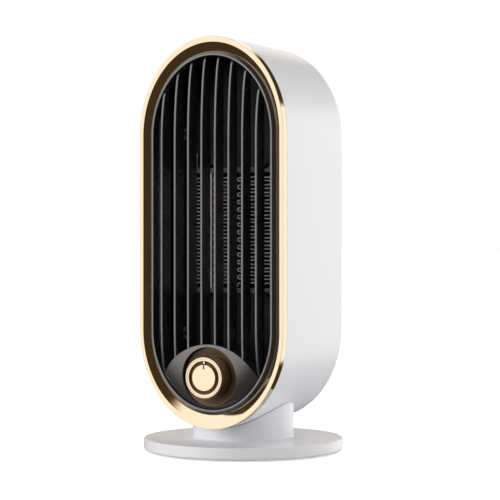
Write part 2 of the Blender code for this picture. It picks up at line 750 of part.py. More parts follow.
def heating_element(aluminium, ceramic):
    bottom, top = HEATER_Z - HEATER_HEIGHT / 2, HEATER_Z + HEATER_HEIGHT / 2
    counts = {"rail": 0, "fin": 0, "tube": 0}
    for kind, x in column_places():
        counts[kind] += 1
        name = f"heater_{kind}_{counts[kind]}"
        if kind == "fin":
            inset = TOUCH
            bm = prism(fin_outline(x), HEATER_FRONT + inset, HEATER_BACK - inset)
            add_object(name, bm, aluminium)
        elif kind == "rail":
            half = RAIL_THICKNESS / 2 - TOUCH / 2
            bm = block((x - half, HEATER_FRONT, bottom + TOUCH), (x + half, HEATER_BACK, top - TOUCH))
            add_object(name, bm, aluminium)
        else:
            heater_tube(name, x, bottom - TUBE_IN_CAP, top + TUBE_IN_CAP, aluminium)
            half = STONE_THICKNESS / 2
            edge = TUBE_WALL + TOUCH
            stones = block((x - half, HEATER_FRONT + edge, bottom), (x + half, HEATER_BACK - edge, top))
            add_object(f"ptc_stones_{counts[kind]}", stones, ceramic)


def heater_tube(name, x, bottom, top, finish):
    half = TUBE_THICKNESS / 2

    def section(inset):
        left, right = x - half + inset, x + half - inset
        front, back = HEATER_FRONT + inset, HEATER_BACK - inset
        return [(left, front), (right, front), (right, back), (left, back)]

    outer, inner = section(0), section(TUBE_WALL)
    rings = [(outer, bottom), (outer, top), (inner, top), (inner, bottom)]
    add_object(name, sweep([[(px, py, z) for px, py in ring] for ring, z in rings], closed=True), finish)


def end_caps(finish):
    """The brackets across the element's two ends, slotted for its tubes and held by the duct's hooks."""
    margin = EMBED
    for name, sign in (("heater_cap_top", 1), ("heater_cap_bottom", -1)):
        near = HEATER_Z + sign * (HEATER_HEIGHT / 2 + TOUCH)
        far = near + sign * END_CAP_HEIGHT
        low, high = min(near, far), max(near, far)
        half = HEATER_WIDTH / 2
        cap = add_object(name, block((-half, CAP_FRONT, low), (half, HEATER_BACK, high)), finish)
        slots = []
        for kind, x in column_places():
            if kind == "tube":
                width = TUBE_THICKNESS / 2 + TOUCH
                end = HEATER_Z + sign * (HEATER_HEIGHT / 2 + TUBE_IN_CAP + TOUCH)
                start = near - sign * margin
                slots.append((block((x - width, HEATER_FRONT - TOUCH, min(start, end)),
                                    (x + width, HEATER_BACK + margin, max(start, end))), (0, 0, 0)))
        cut(cap, helper(name + "_slots", merged(slots)))


def heater_terminals(finish):
    low_z = HEATER_Z + HEATER_HEIGHT / 2 + END_CAP_HEIGHT + 2 * TOUCH
    middle = (HEATER_FRONT + HEATER_BACK) / 2
    for number, side in ((1, -1), (2, 1)):
        centre = (side * TERMINAL_OUT, middle, low_z + TERMINAL_LENGTH / 2)
        bm = centred_block(centre, (TERMINAL_WIDTH, TERMINAL_THICKNESS, TERMINAL_LENGTH))
        add_object(f"heater_terminal_{number}", bm, finish)


# ---------------------------------------------------------------- air duct

def duct_turn():
    """The angles of the tunnel's points, with one on each corner of the window."""
    corner = math.atan2(WINDOW_HALF_Z, WINDOW_HALF_X)
    stops = [-corner, corner, math.pi - corner, math.pi + corner, math.tau - corner]
    share = DUCT_STEPS // 4
    return [a + (b - a) * i / share for a, b in zip(stops, stops[1:]) for i in range(share)]


def window_ring(grow, y):
    """The window's rectangle, with as many points as the fan's round, so that the two can be joined."""
    points = []
    for a in duct_turn():
        c, s = math.cos(a), math.sin(a)
        to_side = (WINDOW_HALF_X + grow) / max(abs(c), MESH_MERGE)
        to_end = (WINDOW_HALF_Z + grow) / max(abs(s), MESH_MERGE)
        out = min(to_side, to_end)
        points.append((c * out, y, HEATER_Z + s * out))
    return points


def round_ring(radius, y):
    return [(radius * math.cos(a), y, HEATER_Z + radius * math.sin(a)) for a in duct_turn()]


def mount_spots():
    """Three ears round the tunnel, one at the top."""
    turn = [math.radians(90 + 120 * i) for i in range(3)]
    return [(MOUNT_SCREW_RING * math.cos(a), HEATER_Z + MOUNT_SCREW_RING * math.sin(a)) for a in turn]


def hook_outline(sign):
    """A snap hook over an end cap's front edge, as (y, z) points."""
    near = HEATER_Z + sign * WINDOW_HALF_Z
    far = near + sign * HOOK_THICKNESS
    tip = near - sign * HOOK_LIP
    catch = CAP_FRONT - TOUCH
    root = DUCT_PLATE_FRONT + EMBED
    nose = catch - HOOK_THICKNESS
    return [(root, near), (root, far), (nose, far), (nose, near), (catch, tip), (catch, near)]


def air_duct(finish):
    inset = WALL + LINER_GAP - TOUCH / 2
    plate = pill_sweep([(inset, inset, DUCT_PLATE_FRONT), (inset, inset, DUCT_PLATE_BACK)], closed=False)
    duct = add_object("air_duct", plate, finish)
    start = DUCT_PLATE_FRONT + DUCT_PLATE / 2
    straight_end = HEATER_BACK + RUNNING
    wall = DUCT_WALL
    tunnel = sweep([
        window_ring(wall, start),
        window_ring(wall, straight_end),
        round_ring(TUNNEL_RADIUS + wall, TUNNEL_ROUND_AT),
        round_ring(TUNNEL_RADIUS + wall, TUNNEL_BACK),
        round_ring(TUNNEL_RADIUS, TUNNEL_BACK),
        round_ring(TUNNEL_RADIUS, TUNNEL_ROUND_AT),
        window_ring(0, straight_end),
        window_ring(0, start),
    ], closed=True)
    join(duct, helper("tunnel_blank", tunnel))
    ear_end = TUNNEL_BACK - TOUCH
    join(duct, rod_group("mount_ears", mount_spots(), SMALL_BOSS + TOUCH, TUNNEL_BACK - EAR_DEPTH, ear_end))
    liner_out = WALL + LINER_GAP
    liner_in = liner_out + LINER_WALL
    near = LEDGE_BACK + LINER_GAP
    liner = pill_sweep([(liner_out, liner_out, near), (liner_out, liner_out, start),
                        (liner_in, liner_in, start), (liner_in, liner_in, near)])
    join(duct, helper("duct_liner", liner))
    boss_top = BODY_BOTTOM + PEDESTAL_BOSS_HEIGHT + TOUCH
    space = SMALL_BOSS + TOUCH
    around = [(cylinder(space, 0, boss_top, "Z", 20), (x, y, 0)) for x, y in pedestal_spots(-1)]
    cut(duct, helper("pedestal_boss_space", merged(around)))
    join(duct, rod_group("boss_sleeves", HOUSING_SCREWS, SHOULDER_RADIUS, start, SEAM_FRONT - TOUCH))
    lip = TOUCH / 3
    window = sweep([window_ring(-lip, y) for y in (-FAR, straight_end)], closed=False)
    cut(duct, helper("element_window", window))
    hooks = []
    for sign in (-1, 1):
        for x in (-HOOK_X, HOOK_X):
            hook = prism(hook_outline(sign), x - HOOK_WIDTH / 2, x + HOOK_WIDTH / 2, "X")
            hooks.append((hook, (0, 0, 0)))
    join(duct, helper("cap_hooks", merged(hooks)))
    inside = sweep([round_ring(TUNNEL_RADIUS - lip, y) for y in (TUNNEL_ROUND_AT, FAR)], closed=False)
    cut(duct, helper("fan_space", inside))
    cut(duct, rod_group("boss_clearances", HOUSING_SCREWS, BOSS_RADIUS + TOUCH, -FAR, FAR))
    blind = TUNNEL_BACK + MOUNT_PLATE - MOUNT_SCREW_LENGTH
    cut(duct, rod_group("mount_screw_holes", mount_spots(), SCREW_HOLE, blind, FAR))


# ---------------------------------------------------------------- fan and motor

def fan_blade(angle):
    """A flat pitched blade from inside the hub's wall to the tip."""
    inner, outer = HUB_RADIUS - HUB_WALL / 2, FAN_RADIUS
    pitch = math.radians(BLADE_ANGLE_DEG)
    along = Vector((0, math.sin(pitch), math.cos(pitch))) * BLADE_CHORD / 2
    across = Vector((0, math.cos(pitch), -math.sin(pitch))) * BLADE_THICKNESS / 2
    middle = (FAN_FRONT + FAN_BACK) / 2
    rings = []
    for i in range(5):
        radius = inner + (outer - inner) * i / 4
        reach = 0.62 + 0.38 * i / 4
        corners = []
        for a, b in ((-1, -1), (1, -1), (1, 1), (-1, 1)):
            offset = along * a * reach + across * b
            out = math.sqrt(max(0.0, radius ** 2 - offset.z ** 2))
            corners.append((out, middle + offset.y, offset.z))
        rings.append(corners)
    bm = sweep(rings, closed=False)
    turn = math.radians(angle)
    for v in bm.verts:
        x, z = v.co.x, v.co.z
        v.co.x, v.co.z = x * math.cos(turn) - z * math.sin(turn), x * math.sin(turn) + z * math.cos(turn)
    return bm


def impeller(finish, axis):
    hub = lathe([
        (0, FAN_FRONT),
        (HUB_RADIUS - HUB_WALL, FAN_FRONT),
        (HUB_RADIUS, FAN_FRONT + HUB_WALL),
        (HUB_RADIUS, FAN_BACK),
        (HUB_RADIUS - HUB_WALL, FAN_BACK),
        (HUB_RADIUS - HUB_WALL, FAN_FRONT + 2 * HUB_WALL),
        (BUSHING_RADIUS, FAN_FRONT + 2 * HUB_WALL),
        (BUSHING_RADIUS, FAN_BACK),
        (0, FAN_BACK),
    ], "Y", 28)
    fan = add_object("impeller", hub, finish, axis)
    for i in range(BLADE_COUNT):
        join(fan, helper(f"blade_blank_{i + 1}", fan_blade(360 * i / BLADE_COUNT), axis))
    bore = cylinder(MOTOR_SHAFT_RADIUS + TOUCH, FAN_BACK - MOTOR_SHAFT_IN_HUB - TOUCH, FAR)
    cut(fan, helper("hub_bore", bore, axis))


def motor_mount(finish):
    disc = cylinder(MOUNT_HUB_RADIUS, MOUNT_FRONT, MOUNT_BACK, steps=32)
    mount = add_object("motor_mount", disc, finish, location=(0, 0, HEATER_Z))
    step = MOUNT_PLATE - ARM_PLATE
    for number, (x, z) in enumerate(mount_spots(), 1):
        out = Vector((x, z - HEATER_Z)).normalized()
        side = Vector((-out.y, out.x)) * MOUNT_ARM_WIDTH / 2
        reach = MOUNT_SCREW_RING + SMALL_BOSS
        near = out * MOUNT_HUB_RADIUS / 2
        far = out * reach
        corners = (near - side, far - side * 0.8, far + side * 0.8, near + side)
        outline = [(p.x, p.y + HEATER_Z) for p in corners]
        join(mount, helper(f"mount_arm_{number}", prism(outline, MOUNT_FRONT + step / 2, ARM_BACK)))
    cut(mount, rod_group("mount_arm_holes", mount_spots(), SCREW_HOLE, -FAR, FAR))
    cut(mount, rod_group("motor_screw_holes", motor_screw_spots(), SCREW_HOLE, -FAR, FAR))
    cut(mount, rod_group("mount_bore", [(0, HEATER_Z)], BUSHING_RADIUS + HEAD_HEIGHT, -FAR, FAR))


def motor_screw_spots():
    return [(side * MOTOR_SCREW_RING, HEATER_Z) for side in (-1, 1)]


def motor(steel, magnet, bronze, plastic, axis):
    place = (0, 0, HEATER_Z)
    inner = MOTOR_RADIUS - MOTOR_WALL
    bush_hole = BUSHING_RADIUS + TOUCH
    can = lathe([
        (bush_hole, MOTOR_FRONT),
        (MOTOR_RADIUS, MOTOR_FRONT),
        (MOTOR_RADIUS, MOTOR_BACK),
        (inner, MOTOR_BACK),
        (inner, MOTOR_FRONT + 2 * MOTOR_WALL),
        (bush_hole, MOTOR_FRONT + 2 * MOTOR_WALL),
    ], "Y", 32)
    body = add_object("motor_can", can, steel, location=place)
    ahead, past = MOTOR_FRONT - MOTOR_WALL, MOTOR_FRONT + 3 * MOTOR_WALL
    cut(body, rod_group("motor_thread_holes", motor_screw_spots(), SCREW_HOLE, ahead, past))
    cap_front = MOTOR_BACK - 3 * MOTOR_WALL
    cap_back = MOTOR_BACK + MOTOR_WALL
    cap = lathe([
        (bush_hole, cap_front),
        (inner - TOUCH, cap_front),
        (inner - TOUCH, MOTOR_BACK + TOUCH),
        (MOTOR_RADIUS, MOTOR_BACK + TOUCH),
        (MOTOR_RADIUS, cap_back + TOUCH),
        (bush_hole, cap_back + TOUCH),
    ], "Y", 32)
    add_object("motor_end_cap", cap, plastic, location=place)
    magnet_front = MOTOR_FRONT + 3 * MOTOR_WALL + TOUCH
    ring = tube(inner - TOUCH, MAGNET_INNER, magnet_front, cap_front - MOTOR_WALL, steps=32)
    add_object("motor_magnets", ring, magnet, location=place)
    for end, low in (("front", MOTOR_FRONT + TOUCH), ("rear", cap_front + TOUCH)):
        bush = tube(BUSHING_RADIUS, MOTOR_SHAFT_RADIUS + TOUCH, low, low + BUSHING_LENGTH, steps=20)
        add_object(f"motor_bushing_{end}", bush, bronze, location=place)
    rod = cylinder(MOTOR_SHAFT_RADIUS, FAN_BACK - MOTOR_SHAFT_IN_HUB, cap_back)
    add_object("motor_shaft", rod, steel, axis)
    low = (magnet_front + cap_front) / 2 - ARMATURE_LENGTH / 2 + TOUCH
    core = tube(ARMATURE_RADIUS, MOTOR_SHAFT_RADIUS + TOUCH, low, low + ARMATURE_LENGTH, steps=24)
    add_object("motor_armature", core, bronze, axis)


# ---------------------------------------------------------------- electrics

def board_back():
    return INNER_REAR - BOARD_FROM_BACK + BOARD_SIZE[1]


def board_spots():
    return [(side * BOARD_POST_SPAN / 2, BOARD_Z) for side in (-1, 1)]


def power_board(board_finish):
    middle = board_back() - BOARD_SIZE[1] / 2
    board = add_object("power_board", centred_block((0, middle, BOARD_Z), BOARD_SIZE), board_finish)
    cut(board, rod_group("board_holes", board_spots(), SCREW_HOLE, -FAR, FAR))


def terminal_block(finish):
    depth, height = TERMINAL_BLOCK_SIZE[1:]
    y = INNER_REAR - TOUCH - depth / 2
    z = GLAND_Z + GLAND_FLANGE_RADIUS + TOUCH + height / 2
    add_object("terminal_block", centred_block((0, y, z), TERMINAL_BLOCK_SIZE), finish)


def cord_gland(finish):
    wall_in, wall_out = INNER_REAR - TOUCH, REAR + TOUCH
    bm = lathe([
        (GLAND_BORE, wall_in - GLAND_FLANGE),
        (GLAND_FLANGE_RADIUS, wall_in - GLAND_FLANGE),
        (GLAND_FLANGE_RADIUS, wall_in),
        (GLAND_RADIUS, wall_in),
        (GLAND_RADIUS, wall_out),
        (GLAND_FLANGE_RADIUS, wall_out),
        (GLAND_FLANGE_RADIUS - GLAND_FLANGE / 3, wall_out + GLAND_FLANGE),
        (GLAND_BORE, wall_out + GLAND_FLANGE),
    ], "Y", 28)
    add_object("cord_gland", bm, finish, location=(0, 0, GLAND_Z))


def tilt_switch(finish):
    size = TILT_SWITCH_SIZE
    z = BASE_BOTTOM + COVER_THICKNESS + TOUCH + size[2] / 2
    add_object("tilt_switch", centred_block((0, 0, z), size), finish)


def thermal_parts(steel, dark):
    """The cut-out on the duct's plate above the window, and the one-shot fuse beside it."""
    z = HEATER_Z + HEATER_HEIGHT / 2 + END_CAP_HEIGHT + CUTOUT_RADIUS + TERMINAL_LENGTH + 4 * TOUCH
    behind = DUCT_PLATE_BACK + TOUCH
    bm = cylinder(CUTOUT_RADIUS, behind, behind + CUTOUT_HEIGHT, steps=24)
    add_object("thermal_cutout", bm, dark, location=(0, 0, z))
    fuse = cylinder(FUSE_RADIUS, -FUSE_LENGTH / 2, FUSE_LENGTH / 2, "Z")
    x = CUTOUT_RADIUS + 2 * FUSE_RADIUS
    add_object("thermal_fuse", fuse, steel, location=(x, behind + FUSE_RADIUS, z))


# ---------------------------------------------------------------- pedestal

def pedestal(finish, saddle_holes):
    top = BODY_BOTTOM + END_RISE / 2
    low, high = BASE_ROUND_BOTTOM, BASE_ROUND_TOP
    profile = [(0, BASE_BOTTOM)]
    profile += quarter(low, BASE_RADIUS - low, BASE_BOTTOM + low, -90, 0)
    profile += quarter(high, BASE_RADIUS - high, BASE_TOP - high, 0, 90)
    profile += quarter(NECK_FILLET, NECK_RADIUS + NECK_FILLET, BASE_TOP + NECK_FILLET, 270, 180)
    profile += [(NECK_RADIUS, top), (0, top)]
    body = add_object("pedestal", lathe(profile, steps=DISC_STEPS), finish)
    housing = pill_sweep([(-TOUCH, -TOUCH, -FAR), (-TOUCH, -TOUCH, FAR)], closed=False)
    cut(body, helper("housing_space", housing))
    roof = BASE_TOP - BASE_WALL
    cavity = lathe([
        (0, -BASE_RADIUS),
        (BASE_RADIUS - BASE_WALL, -BASE_RADIUS),
        (BASE_RADIUS - BASE_WALL, roof),
        (NECK_RADIUS - BASE_WALL, roof),
        (NECK_RADIUS - BASE_WALL, top + EMBED),
        (0, top + EMBED),
    ], steps=DISC_STEPS)
    hollow = helper("pedestal_cavity", cavity)
    under = -TOUCH - BASE_WALL
    limit = pill_sweep([(under, under, -FAR), (under, under, FAR)], closed=False)
    cut(hollow, helper("saddle_skin", limit))
    cut(body, hollow)
    cut(body, saddle_holes)


def foot_spots():
    turn = [math.radians(45 + 90 * i) for i in range(4)]
    return [(FOOT_RING * math.cos(a), FOOT_RING * math.sin(a)) for a in turn]


def base_cover(finish):
    radius = BASE_RADIUS - BASE_WALL - TOUCH
    disc = cylinder(radius, BASE_BOTTOM, BASE_BOTTOM + COVER_THICKNESS, "Z", DISC_STEPS)
    cover = add_object("base_cover", disc, finish)
    roof = BASE_BOTTOM + FOOT_POCKET
    pockets = [(cylinder(FOOT_RADIUS + TOUCH, 0, roof, "Z", 24), (x, y, 0)) for x, y in foot_spots()]
    cut(cover, helper("foot_pockets", merged(pockets)))


def feet(finish):
    for number, (x, y) in enumerate(foot_spots(), 1):
        bm = cylinder(FOOT_RADIUS, 0, BASE_BOTTOM + FOOT_POCKET - TOUCH, "Z", 24)
        add_object(f"rubber_foot_{number}", bm, finish, location=(x, y, 0))


# ---------------------------------------------------------------- fasteners

def fasteners(finish):
    def row(name, spots, y, toward, length):
        for number, (x, z) in enumerate(spots, 1):
            screw(f"{name}_{number}", finish, (x, y, z), toward, length)
    row("housing_screw", HOUSING_SCREWS, SEAM_REAR + HOUSING_SCREW_SEAT + TOUCH, "-Y", HOUSING_SCREW_LENGTH)
    row("switch_screw", switch_spots(), SWITCH_FRONT + SWITCH_EAR + TOUCH, "-Y", SWITCH_SCREW_LENGTH)
    row("mount_screw", mount_spots(), ARM_BACK + TOUCH, "-Y", MOUNT_SCREW_LENGTH)
    row("motor_screw", motor_screw_spots(), MOUNT_FRONT - TOUCH, "+Y", MOTOR_SCREW_LENGTH)
    seat = BODY_BOTTOM - BASE_WALL - 2 * TOUCH
    for number, (x, y) in enumerate(pedestal_spots(-1) + pedestal_spots(1), 1):
        screw(f"pedestal_screw_{number}", finish, (x, y, seat), "+Z", PEDESTAL_SCREW_LENGTH)


def build():
    clear_scene()
    white = material("white_abs", (0.86, 0.87, 0.89), 0.25)
    gold = material("gold_plating", (0.95, 0.78, 0.52), 0.15, 1.0)
    black = material("black_abs", (0.02, 0.021, 0.023), 0.3)
    grey = material("heat_resistant_grey", (0.08, 0.085, 0.09), 0.5)
    aluminium = material("aluminium", (0.75, 0.76, 0.77), 0.35, 1.0)
    ceramic = material("ceramic", (0.55, 0.5, 0.42), 0.6)
    steel = material("steel", (0.6, 0.6, 0.6), 0.35, 1.0)
    bronze = material("bronze", (0.55, 0.35, 0.18), 0.4, 1.0)
    rubber = material("rubber", (0.03, 0.03, 0.03), 0.8)
    board = material("circuit_board", (0.05, 0.2, 0.08), 0.5)
    light = material("light_grey_plastic", (0.6, 0.6, 0.58), 0.5)

    neck_spots = pedestal_spots(-1) + pedestal_spots(1)
    saddle_top = BODY_BOTTOM + PEDESTAL_BOSS_HEIGHT - BASE_WALL
    holes = [(cylinder(SCREW_HOLE, 0, saddle_top, "Z"), (x, y, 0)) for x, y in neck_spots]
    saddle_holes = helper("saddle_holes", merged(holes))
    front_bezel(gold)
    front_shell(white, saddle_holes)
    rear_shell(white, saddle_holes)
    front_grille(black)
    knob_dish(gold)
    knob_axis = pivot("knob_axis", (0, 0, KNOB_Z))
    control_knob(gold, knob_axis)
    switch_shaft(steel, knob_axis)
    rotary_switch(black)
    heating_element(aluminium, ceramic)
    end_caps(light)
    heater_terminals(steel)
    air_duct(grey)
    fan_axis = pivot("fan_axis", (0, 0, HEATER_Z))
    impeller(black, fan_axis)
    motor_mount(grey)
    motor(steel, grey, bronze, black, fan_axis)
    power_board(board)
    terminal_block(light)
    cord_gland(rubber)
    tilt_switch(light)
    thermal_parts(steel, black)
    pedestal(white, saddle_holes)
    base_cover(white)
    feet(rubber)
    fasteners(steel)


build()
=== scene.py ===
"""The looks of the ceramic fan heater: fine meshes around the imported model, materials, studio and camera.

Metres, +Z up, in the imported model's frame. The grille faces -Y."""

import json
import math

import bmesh
import bpy
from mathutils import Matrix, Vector

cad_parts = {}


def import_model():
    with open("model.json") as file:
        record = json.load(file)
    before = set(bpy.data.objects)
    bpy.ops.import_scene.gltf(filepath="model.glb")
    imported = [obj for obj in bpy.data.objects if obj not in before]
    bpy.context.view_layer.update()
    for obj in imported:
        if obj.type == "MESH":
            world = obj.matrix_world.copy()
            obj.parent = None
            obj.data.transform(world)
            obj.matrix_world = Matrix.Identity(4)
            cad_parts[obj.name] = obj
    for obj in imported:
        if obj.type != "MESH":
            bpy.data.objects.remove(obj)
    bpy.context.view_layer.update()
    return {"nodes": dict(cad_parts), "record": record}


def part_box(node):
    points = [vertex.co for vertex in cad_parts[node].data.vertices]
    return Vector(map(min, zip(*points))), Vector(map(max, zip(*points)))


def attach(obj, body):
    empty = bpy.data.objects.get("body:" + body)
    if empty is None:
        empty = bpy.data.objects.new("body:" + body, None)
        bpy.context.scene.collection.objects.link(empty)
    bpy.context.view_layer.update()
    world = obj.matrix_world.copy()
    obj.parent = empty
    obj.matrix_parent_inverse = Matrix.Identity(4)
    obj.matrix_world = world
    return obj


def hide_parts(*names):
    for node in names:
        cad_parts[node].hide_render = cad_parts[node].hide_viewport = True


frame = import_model()

# Housing outline: straight sides with a half-ellipse at each end.
BEZEL_LOW, BEZEL_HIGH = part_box("front_bezel")
HALF_WIDTH = BEZEL_HIGH.x
CENTRE = (BEZEL_LOW.z + BEZEL_HIGH.z) / 2
END_RISE = 0.0583
STRAIGHT = (BEZEL_HIGH.z - BEZEL_LOW.z) / 2 - END_RISE
FRONT = BEZEL_LOW.y
WALL = 0.0022
END_STEPS = 72

# Room between pieces, a cutting tool's reach past a piece, a hair's offset, and the steps in a turn.
CLEARANCE = 0.0003
OVERSHOOT = 0.01
TINY = 0.00002
TURN_STEPS = 144

# Bezel and grille frame, as insets from the outline.
BEZEL_EDGE = 0.00018
BEZEL_LIP = 0.0024
BEZEL_LIP_EDGE = 0.0003
BEZEL_WIDTH = 0.0059
BEZEL_FUNNEL = 0.0024
BEZEL_END_RATIO = 1.42
FRAME_OUTER = BEZEL_WIDTH + CLEARANCE
FRAME_BAND = 0.0027
FRAME_EDGE = 0.0003
FRAME_SLOPE = 0.0015
FRAME_SLOPE_DEPTH = 0.0014
FRAME_SET_BACK = 0.0009
FRAME_INNER = FRAME_OUTER + FRAME_BAND

# Shells.
SEAM_EDGE = 0.0001
SEAM_CLOSE = 0.00016
LEDGE_WIDTH = 0.006
LEDGE_THICKNESS = 0.002
REAR_ROUND = 0.006
POST_RADIUS = 0.0055
WELL_RADIUS = 0.0027
WELL_FLOOR = 0.003
GLAND_HOLE_RADIUS = 0.0056
GLAND_HOLE_START = 0.02
NECK_SCREW_Y = 0.020
NECK_HOLE_RADIUS = 0.0015
NECK_HOLE_TOP = 0.026
VENT_COUNT = 9
VENT_PITCH = 0.0078
VENT_WIDTH = 0.0040
VENT_FIELD = 0.0375
VENT_BRIDGE = 0.0040
VENT_FLARE = 0.0004
SCREEN_RADIUS = 0.0395
SCREEN_DEPTH = 0.0006

# Grille.
GRILLE_FRONT = FRONT - 0.0025
FLANGE_FRONT = BEZEL_HIGH.y + CLEARANCE
FLANGE_BACK = FLANGE_FRONT + 0.002
DOME_DROP = 0.006
DOME_MARGIN = 0.005
SLAT_COUNT = 8
SLAT_PITCH = 0.009
SLAT_THICKNESS = 0.0017
SLAT_EDGE = 0.0005
SLAT_BACK = FLANGE_BACK - 0.0004
PLATE_PROUD = 0.0004
PLATE_RADIUS = 0.0351
PLATE_EDGE = 0.0006
PLATE_BACK = FLANGE_BACK - 0.0002
EMBED = 0.0012

# Knob and dish.
KNOB_LOW, KNOB_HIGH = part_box("control_knob")
DISH_LOW, DISH_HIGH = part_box("knob_dish")
KNOB_RADIUS = KNOB_HIGH.x
KNOB_Z = (KNOB_LOW.z + KNOB_HIGH.z) / 2
KNOB_DISC = 0.0078
KNOB_GROOVE = 0.0020
KNOB_GROOVE_DEPTH = 0.0014
KNOB_WALL = 0.0015
KNOB_FACE = 0.0032
KNOB_BOSS = 0.0052
SHAFT_HOLE = 0.0033
SHAFT_DEPTH = 0.0068
POINTER_WIDTH = 0.0011
POINTER_LENGTH = 0.0027
POINTER_PAST = 0.0004
POINTER_EDGE = 0.0001
INLAY_DEPTH = 0.0004
RIB_DEPTH = 0.0003
RIM_STEP = 0.00012
RIM_LINE = 0.00025
DISH_FUNNEL = 0.0022
DISH_FLOOR = 0.0011
DISH_RIM = 0.0006
DISH_THROAT_GAP = 0.0005
DISH_HOLE = 0.0035
PLATE_ARC_Z = KNOB_Z - 0.0155

# Pedestal.
BASE_THICKNESS = 0.0075
NECK_RADIUS = 0.031
BASE_WALL = 0.0025
NECK_ROOF = 0.0095
FOOT_POCKET_RADIUS = 0.0063
FOOT_POCKET_DEPTH = 0.0005

# Heating element and small pieces.
FIN_PITCH = 0.0046
FIN_SHEET = 0.0007
FIN_TURN = 0.0019
FIN_TURN_RADIUS = 0.0008
TUBE_WALL = 0.0004
TUBE_EDGE = 0.0008
CAP_EDGE = 0.0004
CAP_SLOT_PAST = 0.001
CAP_SLOT_EDGE = 0.0001
HEAD_HEIGHT = 0.0014
HEAD_EDGE = 0.0008
SCREW_RADIUS = 0.0012
THREAD_PITCH = 0.0008
THREAD_DEPTH = 0.0003
THREAD_START = 0.0004
SCREW_POINT = 0.001
RECESS_DEPTH = 0.0008
RECESS_LENGTH = 0.0013
RECESS_WIDTH = 0.0003
GLAND_BORE = 0.0035
GLAND_NECK = 0.0055
GLAND_FLANGE = 0.002
MOTOR_BEARING = 0.0033
CAN_SHEET = 0.001

# Studio: the sky's brightness and colour, the strength of each light, and the floor's glow.
SKY = 1.38
SKY_WARMTH = (1.0, 1.25, 1.6)
SHADE = (0.068, 0.043, 0.022)
SIDE_BOX = 6.2
TOP_BOX = 1.9
KEY_BOX = 5.2
FLOOR_NEAR = 0.62
FLOOR_FAR = 1.0
FADE_START = 0.07
FADE_END = 0.30
FLOOR_REACH = 30.0

# Camera.
CAMERA_PLACE = (0.471, -0.9375, 0.1261)
CAMERA_AZIMUTH = 26.45
CAMERA_LENS = 122.8
CAMERA_SHIFT = -0.0096
SENSOR_WIDTH = 36.0


# ---------------------------------------------------------------- mesh helpers

def add_piece(name, bm, finish, body="housing", replaced=(), sharp_deg=40.0, weighted=True):
    """Turns a bmesh into a finished piece that rides on a body and stands for the CAD nodes named."""
    bmesh.ops.remove_doubles(bm, verts=bm.verts, dist=1e-7)
    bmesh.ops.recalc_face_normals(bm, faces=bm.faces)
    mesh = bpy.data.meshes.new(name)
    bm.to_mesh(mesh)
    bm.free()
    mesh.shade_smooth()
    mesh.set_sharp_from_angle(angle=math.radians(sharp_deg))
    mesh.materials.append(finish)
    piece = bpy.data.objects.new(name, mesh)
    bpy.context.scene.collection.objects.link(piece)
    if weighted:
        weigh(piece)
    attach(piece, body)
    if replaced:
        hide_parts(*replaced)
    return piece


def weigh(piece):
    """Lets the broad faces set the shading, so that small rounds don't smear across them."""
    modifier = piece.modifiers.new("weighted_normals", "WEIGHTED_NORMAL")
    modifier.keep_sharp = True
    modifier.weight = 80


def cut(piece, bm, name, operation="DIFFERENCE"):
    """Cuts, or joins with operation UNION, a bmesh from a piece and bakes the result into its mesh."""
    mesh = bpy.data.meshes.new(name)
    bmesh.ops.recalc_face_normals(bm, faces=bm.faces)
    bm.to_mesh(mesh)
    bm.free()
    tool = bpy.data.objects.new(name, mesh)
    bpy.context.scene.collection.objects.link(tool)
    modifier = piece.modifiers.new(name, "BOOLEAN")
    modifier.operation = operation
    modifier.object = tool
    modifier.solver = "EXACT"
    piece.modifiers.move(len(piece.modifiers) - 1, 0)
    bpy.context.view_layer.update()
    others = [m for m in piece.modifiers if m != modifier]
    shown = [m.show_viewport for m in others]
    for m in others:
        m.show_viewport = False
    evaluated = piece.evaluated_get(bpy.context.evaluated_depsgraph_get())
    baked = bpy.data.meshes.new_from_object(evaluated)
    piece.modifiers.remove(modifier)
    for m, was in zip(others, shown):
        m.show_viewport = was
    old = piece.data
    piece.data = baked
    baked.name = old.name
    baked.shade_smooth()
    baked.set_sharp_from_angle(angle=math.radians(40.0))
    bpy.data.meshes.remove(old)
    bpy.data.objects.remove(tool, do_unlink=True)


def sweep(rings, closed):
    """Joins equal rings of points in turn, into a closed tube or a capped solid."""
    bm = bmesh.new()
    made = [[bm.verts.new(p) for p in ring] for ring in rings]
    count = len(made[0])
    pairs = list(zip(made, made[1:]))
    if closed:
        pairs.append((made[-1], made[0]))
    for a, b in pairs:
        for i in range(count):
            j = (i + 1) % count
            bm.faces.new((a[i], a[j], b[j], b[i]))
    if not closed:
        bm.faces.new(made[0])
        bm.faces.new(made[-1])
    return bm


def pill(side, end):
    """The housing outline as (x, z) points, drawn in by side at the sides and by end at the ends."""
    half, rise = HALF_WIDTH - side, END_RISE - end
    turn = [math.pi * i / END_STEPS for i in range(END_STEPS + 1)]
    return [(sign * half * math.cos(a), CENTRE + sign * (STRAIGHT + rise * math.sin(a)))
            for sign in (1, -1) for a in turn]


def pill_sweep(profile, closed=True):
    """Sweeps the housing outline through a profile of (side inset, end inset, y) rings."""
    return sweep([[(x, y, z) for x, z in pill(side, end)] for side, end, y in profile], closed)


def lathe(profile, axis="Y", centre=(0, 0, 0), steps=TURN_STEPS):
    """Turns a (radius, along) profile about an axis through centre, with a flat cap where it meets it."""
    cx, cy, cz = centre

    def ring(radius, along):
        turn = [math.tau * i / steps for i in range(steps)]
        if axis == "Z":
            return [(cx + radius * math.cos(a), cy + radius * math.sin(a), cz + along) for a in turn]
        return [(cx + radius * math.cos(a), cy + along, cz + radius * math.sin(a)) for a in turn]

    off_axis = [p for p in profile if p[0] > 0]
    return sweep([ring(r, h) for r, h in off_axis], closed=len(off_axis) == len(profile))


